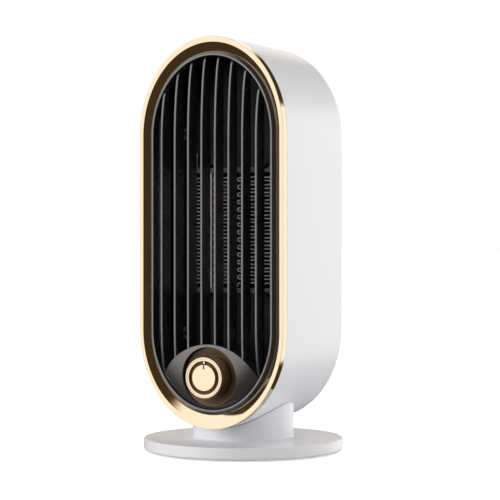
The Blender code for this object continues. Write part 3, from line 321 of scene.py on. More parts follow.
def cylinder(radius, low, high, centre=(0, 0, 0), axis="Y", steps=48):
    return lathe([(0, low), (radius, low), (radius, high), (0, high)], axis, centre, steps)


def rounded(points, radii, steps=5):
    """A path through points, with each inner corner rounded off by its radius, or kept where that is 0."""
    out = [points[0]]
    for before, corner, after, radius in zip(points, points[1:], points[2:], radii):
        if radius == 0:
            out.append(corner)
            continue
        p, a, b = Vector(corner), Vector(before), Vector(after)
        u, v = (a - p).normalized(), (b - p).normalized()
        angle = u.angle(v)
        run = min(radius / math.tan(angle / 2), 0.49 * (a - p).length, 0.49 * (b - p).length)
        start, end = p + u * run, p + v * run
        for i in range(steps + 1):
            t = i / steps
            out.append(tuple((1 - t) ** 2 * start + 2 * t * (1 - t) * p + t * t * end))
    out.append(points[-1])
    return out


def prism(outline, low, high, along="Y"):
    """An outline pushed from low to high: (x, z) points along Y, (y, z) along X, or (x, y) along Z."""
    place = {
        "X": lambda p, at: (at, p[0], p[1]),
        "Y": lambda p, at: (p[0], at, p[1]),
        "Z": lambda p, at: (p[0], p[1], at),
    }[along]
    return sweep([[place(p, low) for p in outline], [place(p, high) for p in outline]], closed=False)


def merged(parts):
    """Several separate solids as one bmesh."""
    whole = bmesh.new()
    for bm in parts:
        copied = {v: whole.verts.new(v.co) for v in bm.verts}
        for face in bm.faces:
            whole.faces.new([copied[v] for v in face.verts])
        bm.free()
    return whole


def soft_block(low, high, radius, steps=3):
    """A box with rounded edges."""
    bm = bmesh.new()
    bmesh.ops.create_cube(bm, size=1.0)
    centre = (Vector(low) + Vector(high)) / 2
    size = Vector(high) - Vector(low)
    for v in bm.verts:
        v.co = Vector(c * s for c, s in zip(v.co, size)) + centre
    limit = min(radius, 0.45 * min(size))
    bmesh.ops.bevel(bm, geom=bm.edges[:], offset=limit, segments=steps, profile=0.5, affect="EDGES")
    return bm


# ---------------------------------------------------------------- materials

def new_material(name, colour, roughness, metallic=0.0):
    """A Principled material, with the parts that its noises are linked to."""
    made = bpy.data.materials.new(name)
    made.use_nodes = True
    nodes, links = made.node_tree.nodes, made.node_tree.links
    shader = nodes["Principled BSDF"]
    shader.inputs["Base Color"].default_value = (*colour, 1.0)
    shader.inputs["Roughness"].default_value = roughness
    shader.inputs["Metallic"].default_value = metallic
    return made, nodes, links, shader


def noise(nodes, links, scale, detail=3.0, stretch=(1, 1, 1)):
    """Noise in the object's own metres, so that its grain keeps its real size."""
    where = nodes.new("ShaderNodeTexCoord")
    mapping = nodes.new("ShaderNodeMapping")
    mapping.inputs["Scale"].default_value = stretch
    grain = nodes.new("ShaderNodeTexNoise")
    grain.inputs["Scale"].default_value = scale
    grain.inputs["Detail"].default_value = detail
    links.new(where.outputs["Object"], mapping.inputs["Vector"])
    links.new(mapping.outputs["Vector"], grain.inputs["Vector"])
    return grain.outputs["Fac"]


def spread(nodes, links, source, low, high):
    """Maps the middle of a noise to a range of roughness."""
    reach = nodes.new("ShaderNodeMapRange")
    reach.inputs["From Min"].default_value = 0.3
    reach.inputs["From Max"].default_value = 0.7
    reach.inputs["To Min"].default_value = low
    reach.inputs["To Max"].default_value = high
    links.new(source, reach.inputs["Value"])
    return reach.outputs["Result"]


def tint(nodes, links, source, shader, low, high):
    """Mixes two near colours by a noise."""
    mix = nodes.new("ShaderNodeMix")
    mix.data_type = "RGBA"
    mix.inputs["A"].default_value = (*low, 1.0)
    mix.inputs["B"].default_value = (*high, 1.0)
    links.new(source, mix.inputs["Factor"])
    links.new(mix.outputs["Result"], shader.inputs["Base Color"])


def relief(nodes, links, shader, source, strength, distance):
    """Bumps the surface by a noise."""
    bump = nodes.new("ShaderNodeBump")
    bump.inputs["Strength"].default_value = strength
    bump.inputs["Distance"].default_value = distance
    links.new(source, bump.inputs["Height"])
    links.new(bump.outputs["Normal"], shader.inputs["Normal"])


def scaled(colour, factor):
    return tuple(min(1.0, c * factor) for c in colour)


def moulded(name, colour, rough, grain=2500.0, depth=0.00003, strength=0.15, ior=1.5, patches=0.15):
    """Moulded plastic: a fine skin texture, slightly uneven gloss and a faint drift in its colour."""
    made, nodes, links, shader = new_material(name, colour, rough)
    drift = noise(nodes, links, 18.0, 2.0)
    tint(nodes, links, drift, shader, scaled(colour, 1 - patches / 8), scaled(colour, 1 + patches / 8))
    uneven = noise(nodes, links, 40.0, 1.0)
    gloss = spread(nodes, links, uneven, rough * (1 - patches), rough * (1 + patches))
    links.new(gloss, shader.inputs["Roughness"])
    relief(nodes, links, shader, noise(nodes, links, grain, 2.0), strength, depth)
    shader.inputs["IOR"].default_value = ior
    return made


def plated(name, colour, rough):
    """Vacuum-plated plastic: mirror-like, with the soft waviness of the moulding under it."""
    made, nodes, links, shader = new_material(name, colour, rough, 1.0)
    drift = noise(nodes, links, 25.0, 2.0)
    tint(nodes, links, drift, shader, scaled(colour, 0.97), scaled(colour, 1.03))
    gloss = spread(nodes, links, noise(nodes, links, 140.0), rough * 0.8, rough * 1.25)
    links.new(gloss, shader.inputs["Roughness"])
    relief(nodes, links, shader, noise(nodes, links, 220.0, 1.0), 0.04, 0.0001)
    return made


def metal(name, colour, rough, stretch=(1, 1, 1), grain=900.0):
    """Bare metal with uneven roughness, and marks that are finer across an axis with a larger stretch."""
    made, nodes, links, shader = new_material(name, colour, rough, 1.0)
    marks = noise(nodes, links, grain, 4.0, stretch)
    tint(nodes, links, marks, shader, scaled(colour, 0.85), scaled(colour, 1.08))
    gloss = spread(nodes, links, marks, rough * 0.75, rough * 1.3)
    links.new(gloss, shader.inputs["Roughness"])
    relief(nodes, links, shader, marks, 0.12, 0.00003)
    return made


def speckled(name, low, high, rough, grain):
    """A fired, sintered or filled material with a visible grain."""
    made, nodes, links, shader = new_material(name, low, rough)
    specks = noise(nodes, links, grain, 6.0)
    tint(nodes, links, specks, shader, low, high)
    relief(nodes, links, shader, specks, 0.3, 0.0001)
    return made


WHITE = moulded("white_abs", (0.80, 0.820, 0.862), 0.30, grain=220.0, depth=0.00002, strength=0.02,
                patches=0.03)
GOLD = plated("gold_plating", (0.71, 0.595, 0.43), 0.09)
# Painted shade: the knob's dish is gold-plated, and this dark brown stands in for the dark reflections in
# its walls.
DISH_PAINTED_SHADE = moulded("dish_painted_shade", (0.105, 0.066, 0.034), 0.35, ior=1.6)
BLACK = moulded("black_abs", (0.026, 0.028, 0.033), 0.27, ior=2.35)
DUCT = moulded("duct_plastic", (0.006, 0.0065, 0.007), 0.5)
CAP = moulded("cap_plastic", (0.14, 0.14, 0.145), 0.5)
FIN = metal("fin_aluminium", (0.60, 0.605, 0.62), 0.5, grain=700.0)
TUBE = metal("tube_aluminium", (0.60, 0.605, 0.62), 0.45, (8, 8, 1))
# Painted shade: a dark brown gold for the shadow deep in the knob's groove.
GROOVE_PAINTED_SHADE = plated("gold_painted_shade", (0.10, 0.052, 0.022), 0.35)
CERAMIC = speckled("ptc_ceramic", (0.20, 0.18, 0.16), (0.32, 0.30, 0.27), 0.6, 3000.0)
STEEL = metal("steel", (0.60, 0.60, 0.61), 0.28, (1, 6, 1))
SCREW_STEEL = metal("screw_steel", (0.50, 0.50, 0.51), 0.32)
MAGNET = speckled("ferrite", (0.03, 0.03, 0.032), (0.06, 0.06, 0.062), 0.5, 2500.0)
BRONZE = metal("sintered_bronze", (0.55, 0.36, 0.19), 0.42)
WINDING = metal("copper_winding", (0.62, 0.28, 0.12), 0.35, (1, 12, 1))
BOARD = speckled("circuit_board", (0.02, 0.10, 0.045), (0.03, 0.14, 0.06), 0.4, 1800.0)
SCREEN = moulded("dust_screen", (0.010, 0.010, 0.011), 0.8, grain=1200.0, strength=0.6)
RUBBER = moulded("rubber", (0.025, 0.025, 0.026), 0.75, grain=4000.0, strength=0.3)

SLOT_FINISH = {
    "white_plastic": WHITE, "gold_plating": GOLD, "black_plastic": BLACK, "duct_plastic": DUCT,
    "cap_plastic": CAP, "aluminium": TUBE, "fin_aluminium": FIN, "ceramic": CERAMIC, "steel": STEEL,
    "screw_steel": SCREW_STEEL, "magnet": MAGNET, "bronze": BRONZE, "copper_winding": WINDING,
    "circuit_board": BOARD, "rubber": RUBBER,
}


def finish_cad_nodes():
    """Every node gets its slot's finish, and smooth round faces."""
    for entry in frame["record"]["subparts"]:
        node = frame["nodes"][entry["node"]]
        node.data.materials.clear()
        node.data.materials.append(SLOT_FINISH[entry["material_slot"]])
        node.data.shade_smooth()
        node.data.set_sharp_from_angle(angle=math.radians(32.0))


# ---------------------------------------------------------------- housing

def bezel_end(side):
    """The end inset that goes with a side inset on the bezel, whose band is wider at the ends."""
    past = max(0.0, side - BEZEL_EDGE)
    return side + (BEZEL_END_RATIO - 1) * past * BEZEL_WIDTH / (BEZEL_WIDTH - BEZEL_EDGE)


def bezel():
    """A ring with a rounded outer edge, a flat lip and a funnel wall."""
    back = BEZEL_HIGH.y
    path = [
        (0.0, back),
        (0.0, FRONT),
        (BEZEL_LIP, FRONT),
        (BEZEL_WIDTH, FRONT + BEZEL_FUNNEL),
        (BEZEL_WIDTH, back),
    ]
    section = []
    for side, y in rounded(path, [BEZEL_EDGE, BEZEL_LIP_EDGE, BEZEL_LIP_EDGE], steps=8):
        section.append((side, bezel_end(side), y))
    add_piece("bezel", pill_sweep(section), GOLD, replaced=["front_bezel"])


def shell_ring(path, radii, steps=4):
    """A rounded path as rings that are drawn in alike at the sides and at the ends."""
    return [(side, side, y) for side, y in rounded(path, radii, steps)]


def front_shell():
    """A band round the housing, with a ledge inside it behind the grille's flange."""
    low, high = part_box("front_shell")
    ledge_front = FLANGE_BACK + CLEARANCE
    ledge_back = ledge_front + LEDGE_THICKNESS
    inner = WALL + LEDGE_WIDTH
    seam = high.y + SEAM_CLOSE
    path = [
        (WALL, low.y), (0.0, low.y), (0.0, seam), (WALL, seam), (WALL, ledge_back),
        (inner, ledge_back), (inner, ledge_front), (WALL, ledge_front), (WALL, low.y),
    ]
    section = shell_ring(path, [SEAM_EDGE, SEAM_EDGE, 0, 0, SEAM_EDGE, SEAM_EDGE, 0])[:-1]
    piece = add_piece("shell_front", pill_sweep(section), WHITE, replaced=["front_shell"])
    cut(piece, neck_holes(), "neck_screw_holes")


def rear_shell():
    """A cup with four screw posts inside, and openings for the screws, the air and the cord gland."""
    low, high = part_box("rear_shell")
    seam = low.y - SEAM_CLOSE
    back = high.y
    outer = [(WALL, seam), (0.0, seam), (0.0, back), (REAR_ROUND, back)]
    inner = [(REAR_ROUND, back - WALL), (WALL, back - WALL), (WALL, seam)]
    outside = shell_ring(outer, [SEAM_EDGE, REAR_ROUND], 14)
    inside = shell_ring(inner, [REAR_ROUND - WALL], 8)
    bm = pill_sweep(outside[::-1] + inside[::-1], closed=False)
    piece = add_piece("shell_rear", bm, WHITE, replaced=["rear_shell"])
    spots = housing_screw_spots()
    well_start = low.y + WELL_FLOOR
    wells = [cylinder(WELL_RADIUS, well_start, back + OVERSHOOT, spot, steps=32) for spot in spots]
    posts = [cylinder(POST_RADIUS, seam, back - WALL / 2, spot, steps=32) for spot in spots]
    cut(piece, merged(posts), "screw_posts", "UNION")
    cut(piece, merged(wells), "screw_wells")
    cut(piece, merged(intake_slots(back)), "intake_slots")
    gland_low, gland_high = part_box("cord_gland")
    z = (gland_low.z + gland_high.z) / 2
    cut(piece, cylinder(GLAND_HOLE_RADIUS, GLAND_HOLE_START, back + OVERSHOOT, (0, 0, z)), "gland_hole")
    cut(piece, neck_holes(), "neck_screw_holes")


def neck_holes():
    """The two screws that hold the pedestal to the housing pass through these."""
    spots = [(0, side * NECK_SCREW_Y, 0) for side in (-1, 1)]
    return merged([cylinder(NECK_HOLE_RADIUS, 0, NECK_HOLE_TOP, spot, "Z", 24) for spot in spots])


def housing_screw_spots():
    spots = []
    for number in range(1, 5):
        low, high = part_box(f"housing_screw_{number}")
        spots.append(((low.x + high.x) / 2, 0, (low.z + high.z) / 2))
    return spots


def intake_slots(back):
    """Rows of round-ended slots filling a circle in line with the fan, flared a little at the outside."""
    middle = fan_centre()
    slots = []
    for row in range(VENT_COUNT):
        rise = (row - (VENT_COUNT - 1) / 2) * VENT_PITCH
        for side in (-1, 1):
            rings = []
            for grow, y in ((0, back - 2 * WALL), (0, back - VENT_FLARE), (VENT_FLARE, back + TINY)):
                end = VENT_WIDTH / 2 + grow
                far = math.sqrt(VENT_FIELD ** 2 - rise ** 2) - VENT_WIDTH / 2
                near = VENT_BRIDGE / 2 + VENT_WIDTH / 2
                turn = [math.pi * (i / 10 - 0.5) for i in range(11)]
                outline = [(far + end * math.cos(a), end * math.sin(a)) for a in turn]
                outline += [(near - end * math.cos(a), -end * math.sin(a)) for a in turn]
                rings.append([(side * x, y, middle + rise + z) for x, z in outline])
            slots.append(sweep(rings, closed=False))
    return slots


def intake_screen():
    """A dark dust screen just inside the intake slots."""
    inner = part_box("rear_shell")[1].y - WALL
    bm = cylinder(SCREEN_RADIUS, inner - SCREEN_DEPTH, inner, (0, 0, fan_centre()), steps=96)
    add_piece("screen", bm, SCREEN)


def fan_centre():
    """The height of the fan's axis."""
    low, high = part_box("motor_can")
    return (low.z + high.z) / 2


# ---------------------------------------------------------------- grille

def frame_ends(inset):
    """The end inset that goes with a side inset on the grille's frame."""
    return inset + BEZEL_WIDTH * (BEZEL_END_RATIO - 1)


def pill_end(x, inset):
    """How far past the straight sides the frame's outline, drawn in by inset, reaches at x."""
    half, rise = HALF_WIDTH - inset, END_RISE - frame_ends(inset)
    return rise * math.sqrt(max(0.0, 1 - (x / half) ** 2))


def dome(x, z):
    """The grille's front: flat up the middle, falling back in a quarter-ellipse to each end."""
    away = abs(z - CENTRE) - (STRAIGHT - DOME_MARGIN)
    reach = DOME_MARGIN + pill_end(x, FRAME_INNER)
    share = min(1.0, max(0.0, away / reach))
    return GRILLE_FRONT + DOME_DROP * (1 - math.sqrt(1 - share ** 2))


def plate_top(x):
    """The height of the control plate's upper arc."""
    return PLATE_ARC_Z + math.sqrt(max(0.0, PLATE_RADIUS ** 2 - x ** 2))


def frame_end(x, sign, embed):
    """The height where the frame's inner edge passes x, taken embed deeper into the frame."""
    return CENTRE + sign * (STRAIGHT + pill_end(x, FRAME_INNER - embed))


def slat(x, steps=56, corner=4):
    """An upright bar whose front follows the dome, from the control plate or the frame up to the frame."""
    low = max(plate_top(x) - EMBED, frame_end(x, -1, EMBED))
    high = frame_end(x, 1, EMBED)
    half, edge = SLAT_THICKNESS / 2, SLAT_EDGE
    turn = [math.pi / 2 * i / corner for i in range(corner + 1)]
    quarter = [(half - edge + edge * math.cos(a), edge - edge * math.sin(a)) for a in turn]
    rings = []
    for i in range(steps + 1):
        z = low + (high - low) * (1 - math.cos(math.pi * i / steps)) / 2
        front = dome(x, z)
        left = [(x - across, front + deep) for across, deep in quarter]
        right = [(x + across, front + deep) for across, deep in quarter[::-1]]
        outline = [(x - half, SLAT_BACK)] + left + right + [(x + half, SLAT_BACK)]
        rings.append([(px, py, z) for px, py in outline])
    return sweep(rings, closed=False)


def plate_half_width():
    """Where the control plate's upper arc runs into the frame."""
    low, high = 0.0, PLATE_RADIUS
    for _ in range(40):
        middle = (low + high) / 2
        if plate_top(middle) - frame_end(middle, -1, EMBED) > EMBED:
            low = middle
        else:
            high = middle
    return low


def control_plate(columns=90, rows=28, corner=5):
    """The eye-shaped panel round the knob, its front following the dome and its upper edge rounded."""
    half = plate_half_width()
    rings = []
    for i in range(columns + 1):
        x = -half * math.cos(math.pi * i / columns)
        low, high = frame_end(x, -1, EMBED), plate_top(x)
        edge = min(PLATE_EDGE, 0.4 * (high - low))
        top = high - edge
        ring = []
        for j in range(rows + 1):
            z = low + (top - low) * j / rows
            ring.append((x, dome(x, z) - PLATE_PROUD, z))
        front = ring[-1][1]
        for j in range(1, corner + 1):
            a = math.pi / 2 * j / corner
            ring.append((x, front + edge * (1 - math.cos(a)), top + edge * math.sin(a)))
        ring += [(x, PLATE_BACK, high), (x, PLATE_BACK, low)]
        rings.append(ring)
    return sweep(rings, closed=False)


def grille():
    """A frame with a flange behind the bezel, joined with the control plate and the slats."""
    frame_front = FRONT + FRAME_SET_BACK
    flange_inset = WALL + CLEARANCE
    path = [
        (FRAME_OUTER, FLANGE_FRONT),
        (FRAME_OUTER, frame_front + FRAME_SLOPE_DEPTH),
        (FRAME_OUTER + FRAME_SLOPE, frame_front),
        (FRAME_INNER, frame_front),
        (FRAME_INNER, FLANGE_BACK),
    ]
    section = [(side, frame_ends(side), y) for side, y in rounded(path, [0, FRAME_EDGE, FRAME_EDGE], 5)]
    section += [(flange_inset, flange_inset, FLANGE_BACK), (flange_inset, flange_inset, FLANGE_FRONT)]
    piece = add_piece("grille", pill_sweep(section), BLACK, replaced=["front_grille"])
    cut(piece, control_plate(), "panel", "UNION")
    places = [(i - (SLAT_COUNT - 1) / 2) * SLAT_PITCH for i in range(SLAT_COUNT)]
    cut(piece, merged([slat(x) for x in places]), "slats", "UNION")
    before, behind = FRONT - OVERSHOOT, FLANGE_BACK + OVERSHOOT
    pocket_floor = DISH_HIGH.y + CLEARANCE
    axis = (0, 0, KNOB_Z)
    cut(piece, cylinder(DISH_HIGH.x + CLEARANCE, before, pocket_floor, axis, steps=96), "dish_pocket")
    cut(piece, cylinder(KNOB_RADIUS, before, behind, axis, steps=96), "switch_opening")


# ---------------------------------------------------------------- knob

def dish():
    """A funnel round the knob, with a floor that the switch's shaft passes through."""
    front, back = DISH_LOW.y, DISH_HIGH.y
    floor = back - DISH_FLOOR
    radius, throat = DISH_HIGH.x, KNOB_RADIUS + DISH_THROAT_GAP
    path = [
        (DISH_HOLE, floor), (DISH_HOLE, back), (radius, back), (radius, front), (radius - DISH_RIM, front),
        (throat, front + DISH_FUNNEL), (throat, floor), (DISH_HOLE, floor),
    ]
    section = rounded(path, [0, 0.0003, 0.0002, 0.0002, 0.0004, 0], 5)[:-1]
    bm = lathe(section, centre=(0, 0, KNOB_Z))
    # The gold-plated dish takes a flat dark brown of painted shade for the dark reflections in its funnel.
    add_piece("dish", bm, DISH_PAINTED_SHADE, replaced=["knob_dish"])


def knob():
    """A cup with a rim, a groove and a disc, turned, then notched for the pointer."""
    front, back = KNOB_LOW.y, KNOB_HIGH.y
    floor = front + KNOB_GROOVE_DEPTH
    rim = KNOB_DISC + KNOB_GROOVE
    line = rim + 0.55 * (KNOB_RADIUS - rim)
    cavity = front + KNOB_FACE
    inner = KNOB_RADIUS - KNOB_WALL
    axis = (0, 0, KNOB_Z)
    path = [
        (0, front), (KNOB_DISC, front), (KNOB_DISC, floor), (rim, floor), (rim, front + RIM_STEP),
        (line - RIM_LINE, front + RIM_STEP), (line - RIM_LINE, front + 2 * RIM_STEP),
        (line, front + 2 * RIM_STEP), (line, front),
        (KNOB_RADIUS, front), (KNOB_RADIUS, back), (inner, back),
        (inner, cavity), (KNOB_BOSS, cavity), (KNOB_BOSS, back), (0, back),
    ]
    radii = [0.0003, 0.0002, 0.0002, 0.0003, 0.00004, 0.00004, 0.00004, 0.0001, 0.0007, 0.0003, 0.0003,
             0, 0, 0]
    section = rounded(path, radii, 6)
    bm = lathe(section, centre=axis)
    piece = add_piece("knob", bm, GOLD, "knob", replaced=["control_knob"])
    half = POINTER_WIDTH / 2
    top = KNOB_Z + KNOB_DISC
    start, end = top - POINTER_LENGTH, top + POINTER_PAST
    outline = [(-half, start), (half, start), (half, end), (-half, end)]
    cut(piece, prism(outline, front - OVERSHOOT, floor + 0.0002), "pointer_notch")
    cut(piece, cylinder(SHAFT_HOLE, back - SHAFT_DEPTH, back + OVERSHOOT, axis), "shaft_bore")
    # A thin dark ring on the groove's floor: painted shade, for the shadow deep in the groove.
    shade = [(KNOB_DISC + TINY, floor - TINY), (rim - TINY, floor - TINY), (rim - TINY, floor + TINY),
             (KNOB_DISC + TINY, floor + TINY)]
    add_piece("groove_painted_shade", lathe(shade, centre=axis), GROOVE_PAINTED_SHADE, "knob")
    # A black fill in the pointer notch: painted shade, for the shadow inside the notch.
    corner = (-half + TINY, front + INLAY_DEPTH, start + TINY)
    inlay = soft_block(corner, (half - TINY, floor, top), POINTER_EDGE)
    add_piece("pointer_painted_shade", inlay, BLACK, "knob")
    corner = (-half, front + RIB_DEPTH, end)
    rib = soft_block(corner, (half, floor + TINY, KNOB_Z + rim + TINY), POINTER_EDGE)
    add_piece("pointer_rib", rib, GOLD, "knob")


# ---------------------------------------------------------------- pedestal

def pedestal():
    """A disc with a neck, cut to the housing's underside and hollowed from below."""
    low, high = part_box("pedestal")
    radius, bottom = high.x, low.z
    top = bottom + BASE_THICKNESS
    crown = high.z + OVERSHOOT
    path = [
        (0, bottom), (radius, bottom), (radius, top), (NECK_RADIUS, top), (NECK_RADIUS, crown), (0, crown),
    ]
    section = rounded(path, [0.002, 0.001, 0.0015, 0], 8)
    piece = add_piece("base", lathe(section, "Z", steps=200), WHITE, replaced=["pedestal"])
    body = [(-CLEARANCE, -CLEARANCE, y) for y in (-radius, radius)]
    cut(piece, pill_sweep(body, closed=False), "saddle")
    roof = top - BASE_WALL
    inside = radius - BASE_WALL
    neck = NECK_RADIUS - BASE_WALL
    neck_roof = bottom + NECK_ROOF
    cavity = [(0, -OVERSHOOT), (inside, -OVERSHOOT), (inside, roof), (neck, roof), (neck, neck_roof),
              (0, neck_roof)]
    cut(piece, lathe(cavity, "Z", steps=120), "hollow")
    cut(piece, neck_holes(), "neck_screw_holes")


def base_cover():
    """The plate that closes the pedestal from below, with a pocket for each foot."""
    low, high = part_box("base_cover")
    path = [(0, low.z), (high.x, low.z), (high.x, high.z), (0, high.z)]
    bm = lathe(rounded(path, [0.0004, 0.0003], 4), "Z", steps=160)
    piece = add_piece("cover", bm, WHITE, replaced=["base_cover"])
    pockets = []
    for number in range(1, 5):
        a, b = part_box(f"rubber_foot_{number}")
        spot = ((a.x + b.x) / 2, (a.y + b.y) / 2, 0)
        pockets.append(cylinder(FOOT_POCKET_RADIUS, 0, low.z + FOOT_POCKET_DEPTH, spot, "Z"))
    cut(piece, merged(pockets), "foot_pockets")


def feet():
    for number in range(1, 5):
        low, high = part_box(f"rubber_foot_{number}")
        radius = (high.x - low.x) / 2
        path = [(0, low.z), (radius, low.z), (radius, high.z), (0, high.z)]
        spot = ((low.x + high.x) / 2, (low.y + high.y) / 2, 0)
        bm = lathe(rounded(path, [0.0004, 0.0002], 5), "Z", spot, 48)
        add_piece(f"foot_{number}", bm, RUBBER, replaced=[f"rubber_foot_{number}"])


# ---------------------------------------------------------------- heating element

def fin_path(low, high):
    """The middle line of a folded sheet as (x, z) points, with rounded turns at both sides."""
    half = FIN_SHEET / 2
    left, right = low.x + half, high.x - half
    reach = high.z - low.z - FIN_TURN - FIN_SHEET
    folds = round(reach / (FIN_PITCH / 2))
    corners = []
    for i in range(folds + 1):
        x = right if i % 2 else left
        z = low.z + (FIN_TURN + FIN_SHEET) / 2 + i * reach / folds
        corners += [(x, z - FIN_TURN / 2), (x, z + FIN_TURN / 2)]
    return rounded(corners, [FIN_TURN_RADIUS] * (len(corners) - 2), 5)


def fin_section(path):
    """Both sides of the sheet, offset from its middle line."""
    half = FIN_SHEET / 2
    sides = ([], [])
    for i, p in enumerate(path):
        before, after = path[max(0, i - 1)], path[min(len(path) - 1, i + 1)]
        along = Vector((after[0] - before[0], after[1] - before[1])).normalized()
        across = Vector((-along.y, along.x)) * half
        sides[0].append((p[0] + across.x, p[1] + across.y))
        sides[1].append((p[0] - across.x, p[1] - across.y))
    return sides[0], sides[1]


def heater_fins():
    """Each fin is a folded sheet, swept from its front to its back."""
    for number in range(1, 5):
        low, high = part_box(f"heater_fin_{number}")
        upper, lower = fin_section(fin_path(low, high))
        bm = bmesh.new()
        rows = []
        for side, y in ((upper, low.y), (upper, high.y), (lower, high.y), (lower, low.y)):
            rows.append([bm.verts.new((x, y, z)) for x, z in side])
        for a, b in zip(rows, rows[1:] + rows[:1]):
            for i in range(len(a) - 1):
                bm.faces.new((a[i], a[i + 1], b[i + 1], b[i]))
        for i in (0, -1):
            bm.faces.new([row[i] for row in rows])
        add_piece(f"fin_{number}", bm, FIN, replaced=[f"heater_fin_{number}"],
                  weighted=False)


def heater_tubes():
    """Three open rectangular tubes, and a rail at each side of the element."""
    for number in range(1, 4):
        low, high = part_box(f"heater_tube_{number}")
        rings = [(0.0, low.z), (0.0, high.z), (TUBE_WALL, high.z), (TUBE_WALL, low.z)]
        loops = []
        for inset, z in rings:
            edge = TUBE_EDGE - inset
            outline = soft_rectangle(low.x + inset, low.y + inset, high.x - inset, high.y - inset, edge)
            loops.append([(x, y, z) for x, y in outline])
        add_piece(f"tube_{number}", sweep(loops, closed=True), TUBE,
                  replaced=[f"heater_tube_{number}"])
    for number in (1, 2):
        low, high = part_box(f"heater_rail_{number}")
        add_piece(f"rail_{number}", soft_block(low, high, 0.0002), TUBE,
                  replaced=[f"heater_rail_{number}"])


def soft_rectangle(left, front, right, back, radius, steps=4):
    """A rectangle's outline with rounded corners, as (x, y) points."""
    outline = []
    corners = [(right - radius, back - radius), (left + radius, back - radius),
               (left + radius, front + radius), (right - radius, front + radius)]
    for (cx, cy), start in zip(corners, (0, 90, 180, 270)):
        for i in range(steps + 1):
            a = math.radians(start + 90 * i / steps)
            outline.append((cx + radius * math.cos(a), cy + radius * math.sin(a)))
    return outline


def heater_caps():
    """Each cap is a block with a slot for each tube, open at the back and toward the element."""
    for name in ("heater_cap_bottom", "heater_cap_top"):
        low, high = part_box(name)
        bm = soft_block(low, high, CAP_EDGE)
        piece = add_piece(name + "_fine", bm, CAP, replaced=[name])
        slots = []
        for number in range(1, 4):
            a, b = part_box(f"heater_tube_{number}")
            if name.endswith("top"):
                start, end = low.z - CAP_SLOT_PAST, b.z + CLEARANCE
            else:
                start, end = a.z - CLEARANCE, high.z + CAP_SLOT_PAST
            corner = (a.x - CLEARANCE, a.y - CLEARANCE, start)
            other = (b.x + CLEARANCE, high.y + CAP_SLOT_PAST, end)
            slots.append(soft_block(corner, other, CAP_SLOT_EDGE))
        cut(piece, merged(slots), "tube_slots")


# ---------------------------------------------------------------- small pieces

def screws():
    """Pan heads with a cross recess. Each screw's head end follows from its name."""
    for node in sorted(frame["nodes"]):
        if "_screw_" not in node:
            continue
        low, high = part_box(node)
        upright = node.startswith("pedestal")
        head_low = upright or node.startswith("motor")
        axis = "Z" if upright else "Y"
        middle = (low + high) / 2
        start, end = (low.z, high.z) if upright else (low.y, high.y)
        sign = 1 if head_low else -1
        tip = end if head_low else start
        seat = start if head_low else end
        radius = (high.x - low.x) / 2
        profile = [(0, 0), (radius, 0), (radius, HEAD_HEIGHT), (SCREW_RADIUS, HEAD_HEIGHT)]
        section = rounded(profile, [HEAD_EDGE, 0.0001], 5)
        length = abs(tip - seat)
        turns = int((length - HEAD_HEIGHT - SCREW_POINT) / THREAD_PITCH)
        for i in range(turns):
            at = HEAD_HEIGHT + THREAD_START + i * THREAD_PITCH
            section += [(SCREW_RADIUS - THREAD_DEPTH, at), (SCREW_RADIUS, at + THREAD_PITCH / 2)]
        section += [(SCREW_RADIUS - 0.0004, length - 0.0003), (0, length)]
        points = [(r, seat + sign * h) for r, h in section]
        centre = (middle.x, middle.y, 0) if upright else (middle.x, 0, middle.z)
        piece = add_piece(node + "_fine", lathe(points, axis, centre, 32), SCREW_STEEL,
                          replaced=[node])
        bars = [(RECESS_LENGTH, RECESS_WIDTH), (RECESS_WIDTH, RECESS_LENGTH)]
        for number, (dx, dz) in enumerate(bars):
            if upright:
                reach = Vector((dx, dz, RECESS_DEPTH))
                place = Vector((middle.x, middle.y, seat))
            else:
                reach = Vector((dx, RECESS_DEPTH, dz))
                place = Vector((middle.x, seat, middle.z))
            cut(piece, soft_block(place - reach, place + reach, 0.00005, 1), f"recess_{number}")


def gland():
    """A rubber ring with a flange on each side of the shell's wall."""
    low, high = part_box("cord_gland")
    radius, bore, neck = high.x, GLAND_BORE, GLAND_NECK
    z = (low.z + high.z) / 2
    wall_in, wall_out = low.y + GLAND_FLANGE, high.y - GLAND_FLANGE
    path = [
        (bore, low.y), (radius, low.y), (radius, wall_in), (neck, wall_in), (neck, wall_out),
        (radius, wall_out), (radius - 0.0004, high.y - 0.0004), (radius - 0.0022, high.y),
        (bore, high.y), (bore, low.y),
    ]
    section = rounded(path, [0.0004, 0.0002, 0, 0, 0.0003, 0.0005, 0.0005, 0.0004], 5)[:-1]
    bm = lathe(section, centre=(0, 0, z), steps=96)
    add_piece("gland", bm, RUBBER, replaced=["cord_gland"])


def motor():
    """A drawn can and the end cap that closes it."""
    low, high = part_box("motor_can")
    radius, z = high.x, fan_centre()
    inner, hole = radius - CAN_SHEET, MOTOR_BEARING
    floor = low.y + 2 * CAN_SHEET
    path = [
        (hole, low.y), (radius, low.y), (radius, high.y), (inner, high.y), (inner, floor),
        (hole, floor), (hole, low.y),
    ]
    section = rounded(path, [0.0012, 0.0002, 0.0002, 0.0008, 0], 6)[:-1]
    add_piece("can", lathe(section, centre=(0, 0, z), steps=96), STEEL, replaced=["motor_can"])
    low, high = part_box("motor_end_cap")
    plug = inner - CLEARANCE
    step = high.y - CAN_SHEET
    boss = high.y - 0.0005
    path = [
        (hole, low.y), (plug, low.y), (plug, step), (radius, step), (radius, high.y),
        (0.006, high.y), (0.0055, boss), (hole, boss), (hole, low.y),
    ]
    section = rounded(path, [0, 0, 0.0002, 0.0004, 0.0002, 0.0002, 0], 4)[:-1]
    add_piece("end_cap", lathe(section, centre=(0, 0, z), steps=96), BLACK,
              replaced=["motor_end_cap"])


# ---------------------------------------------------------------- studio

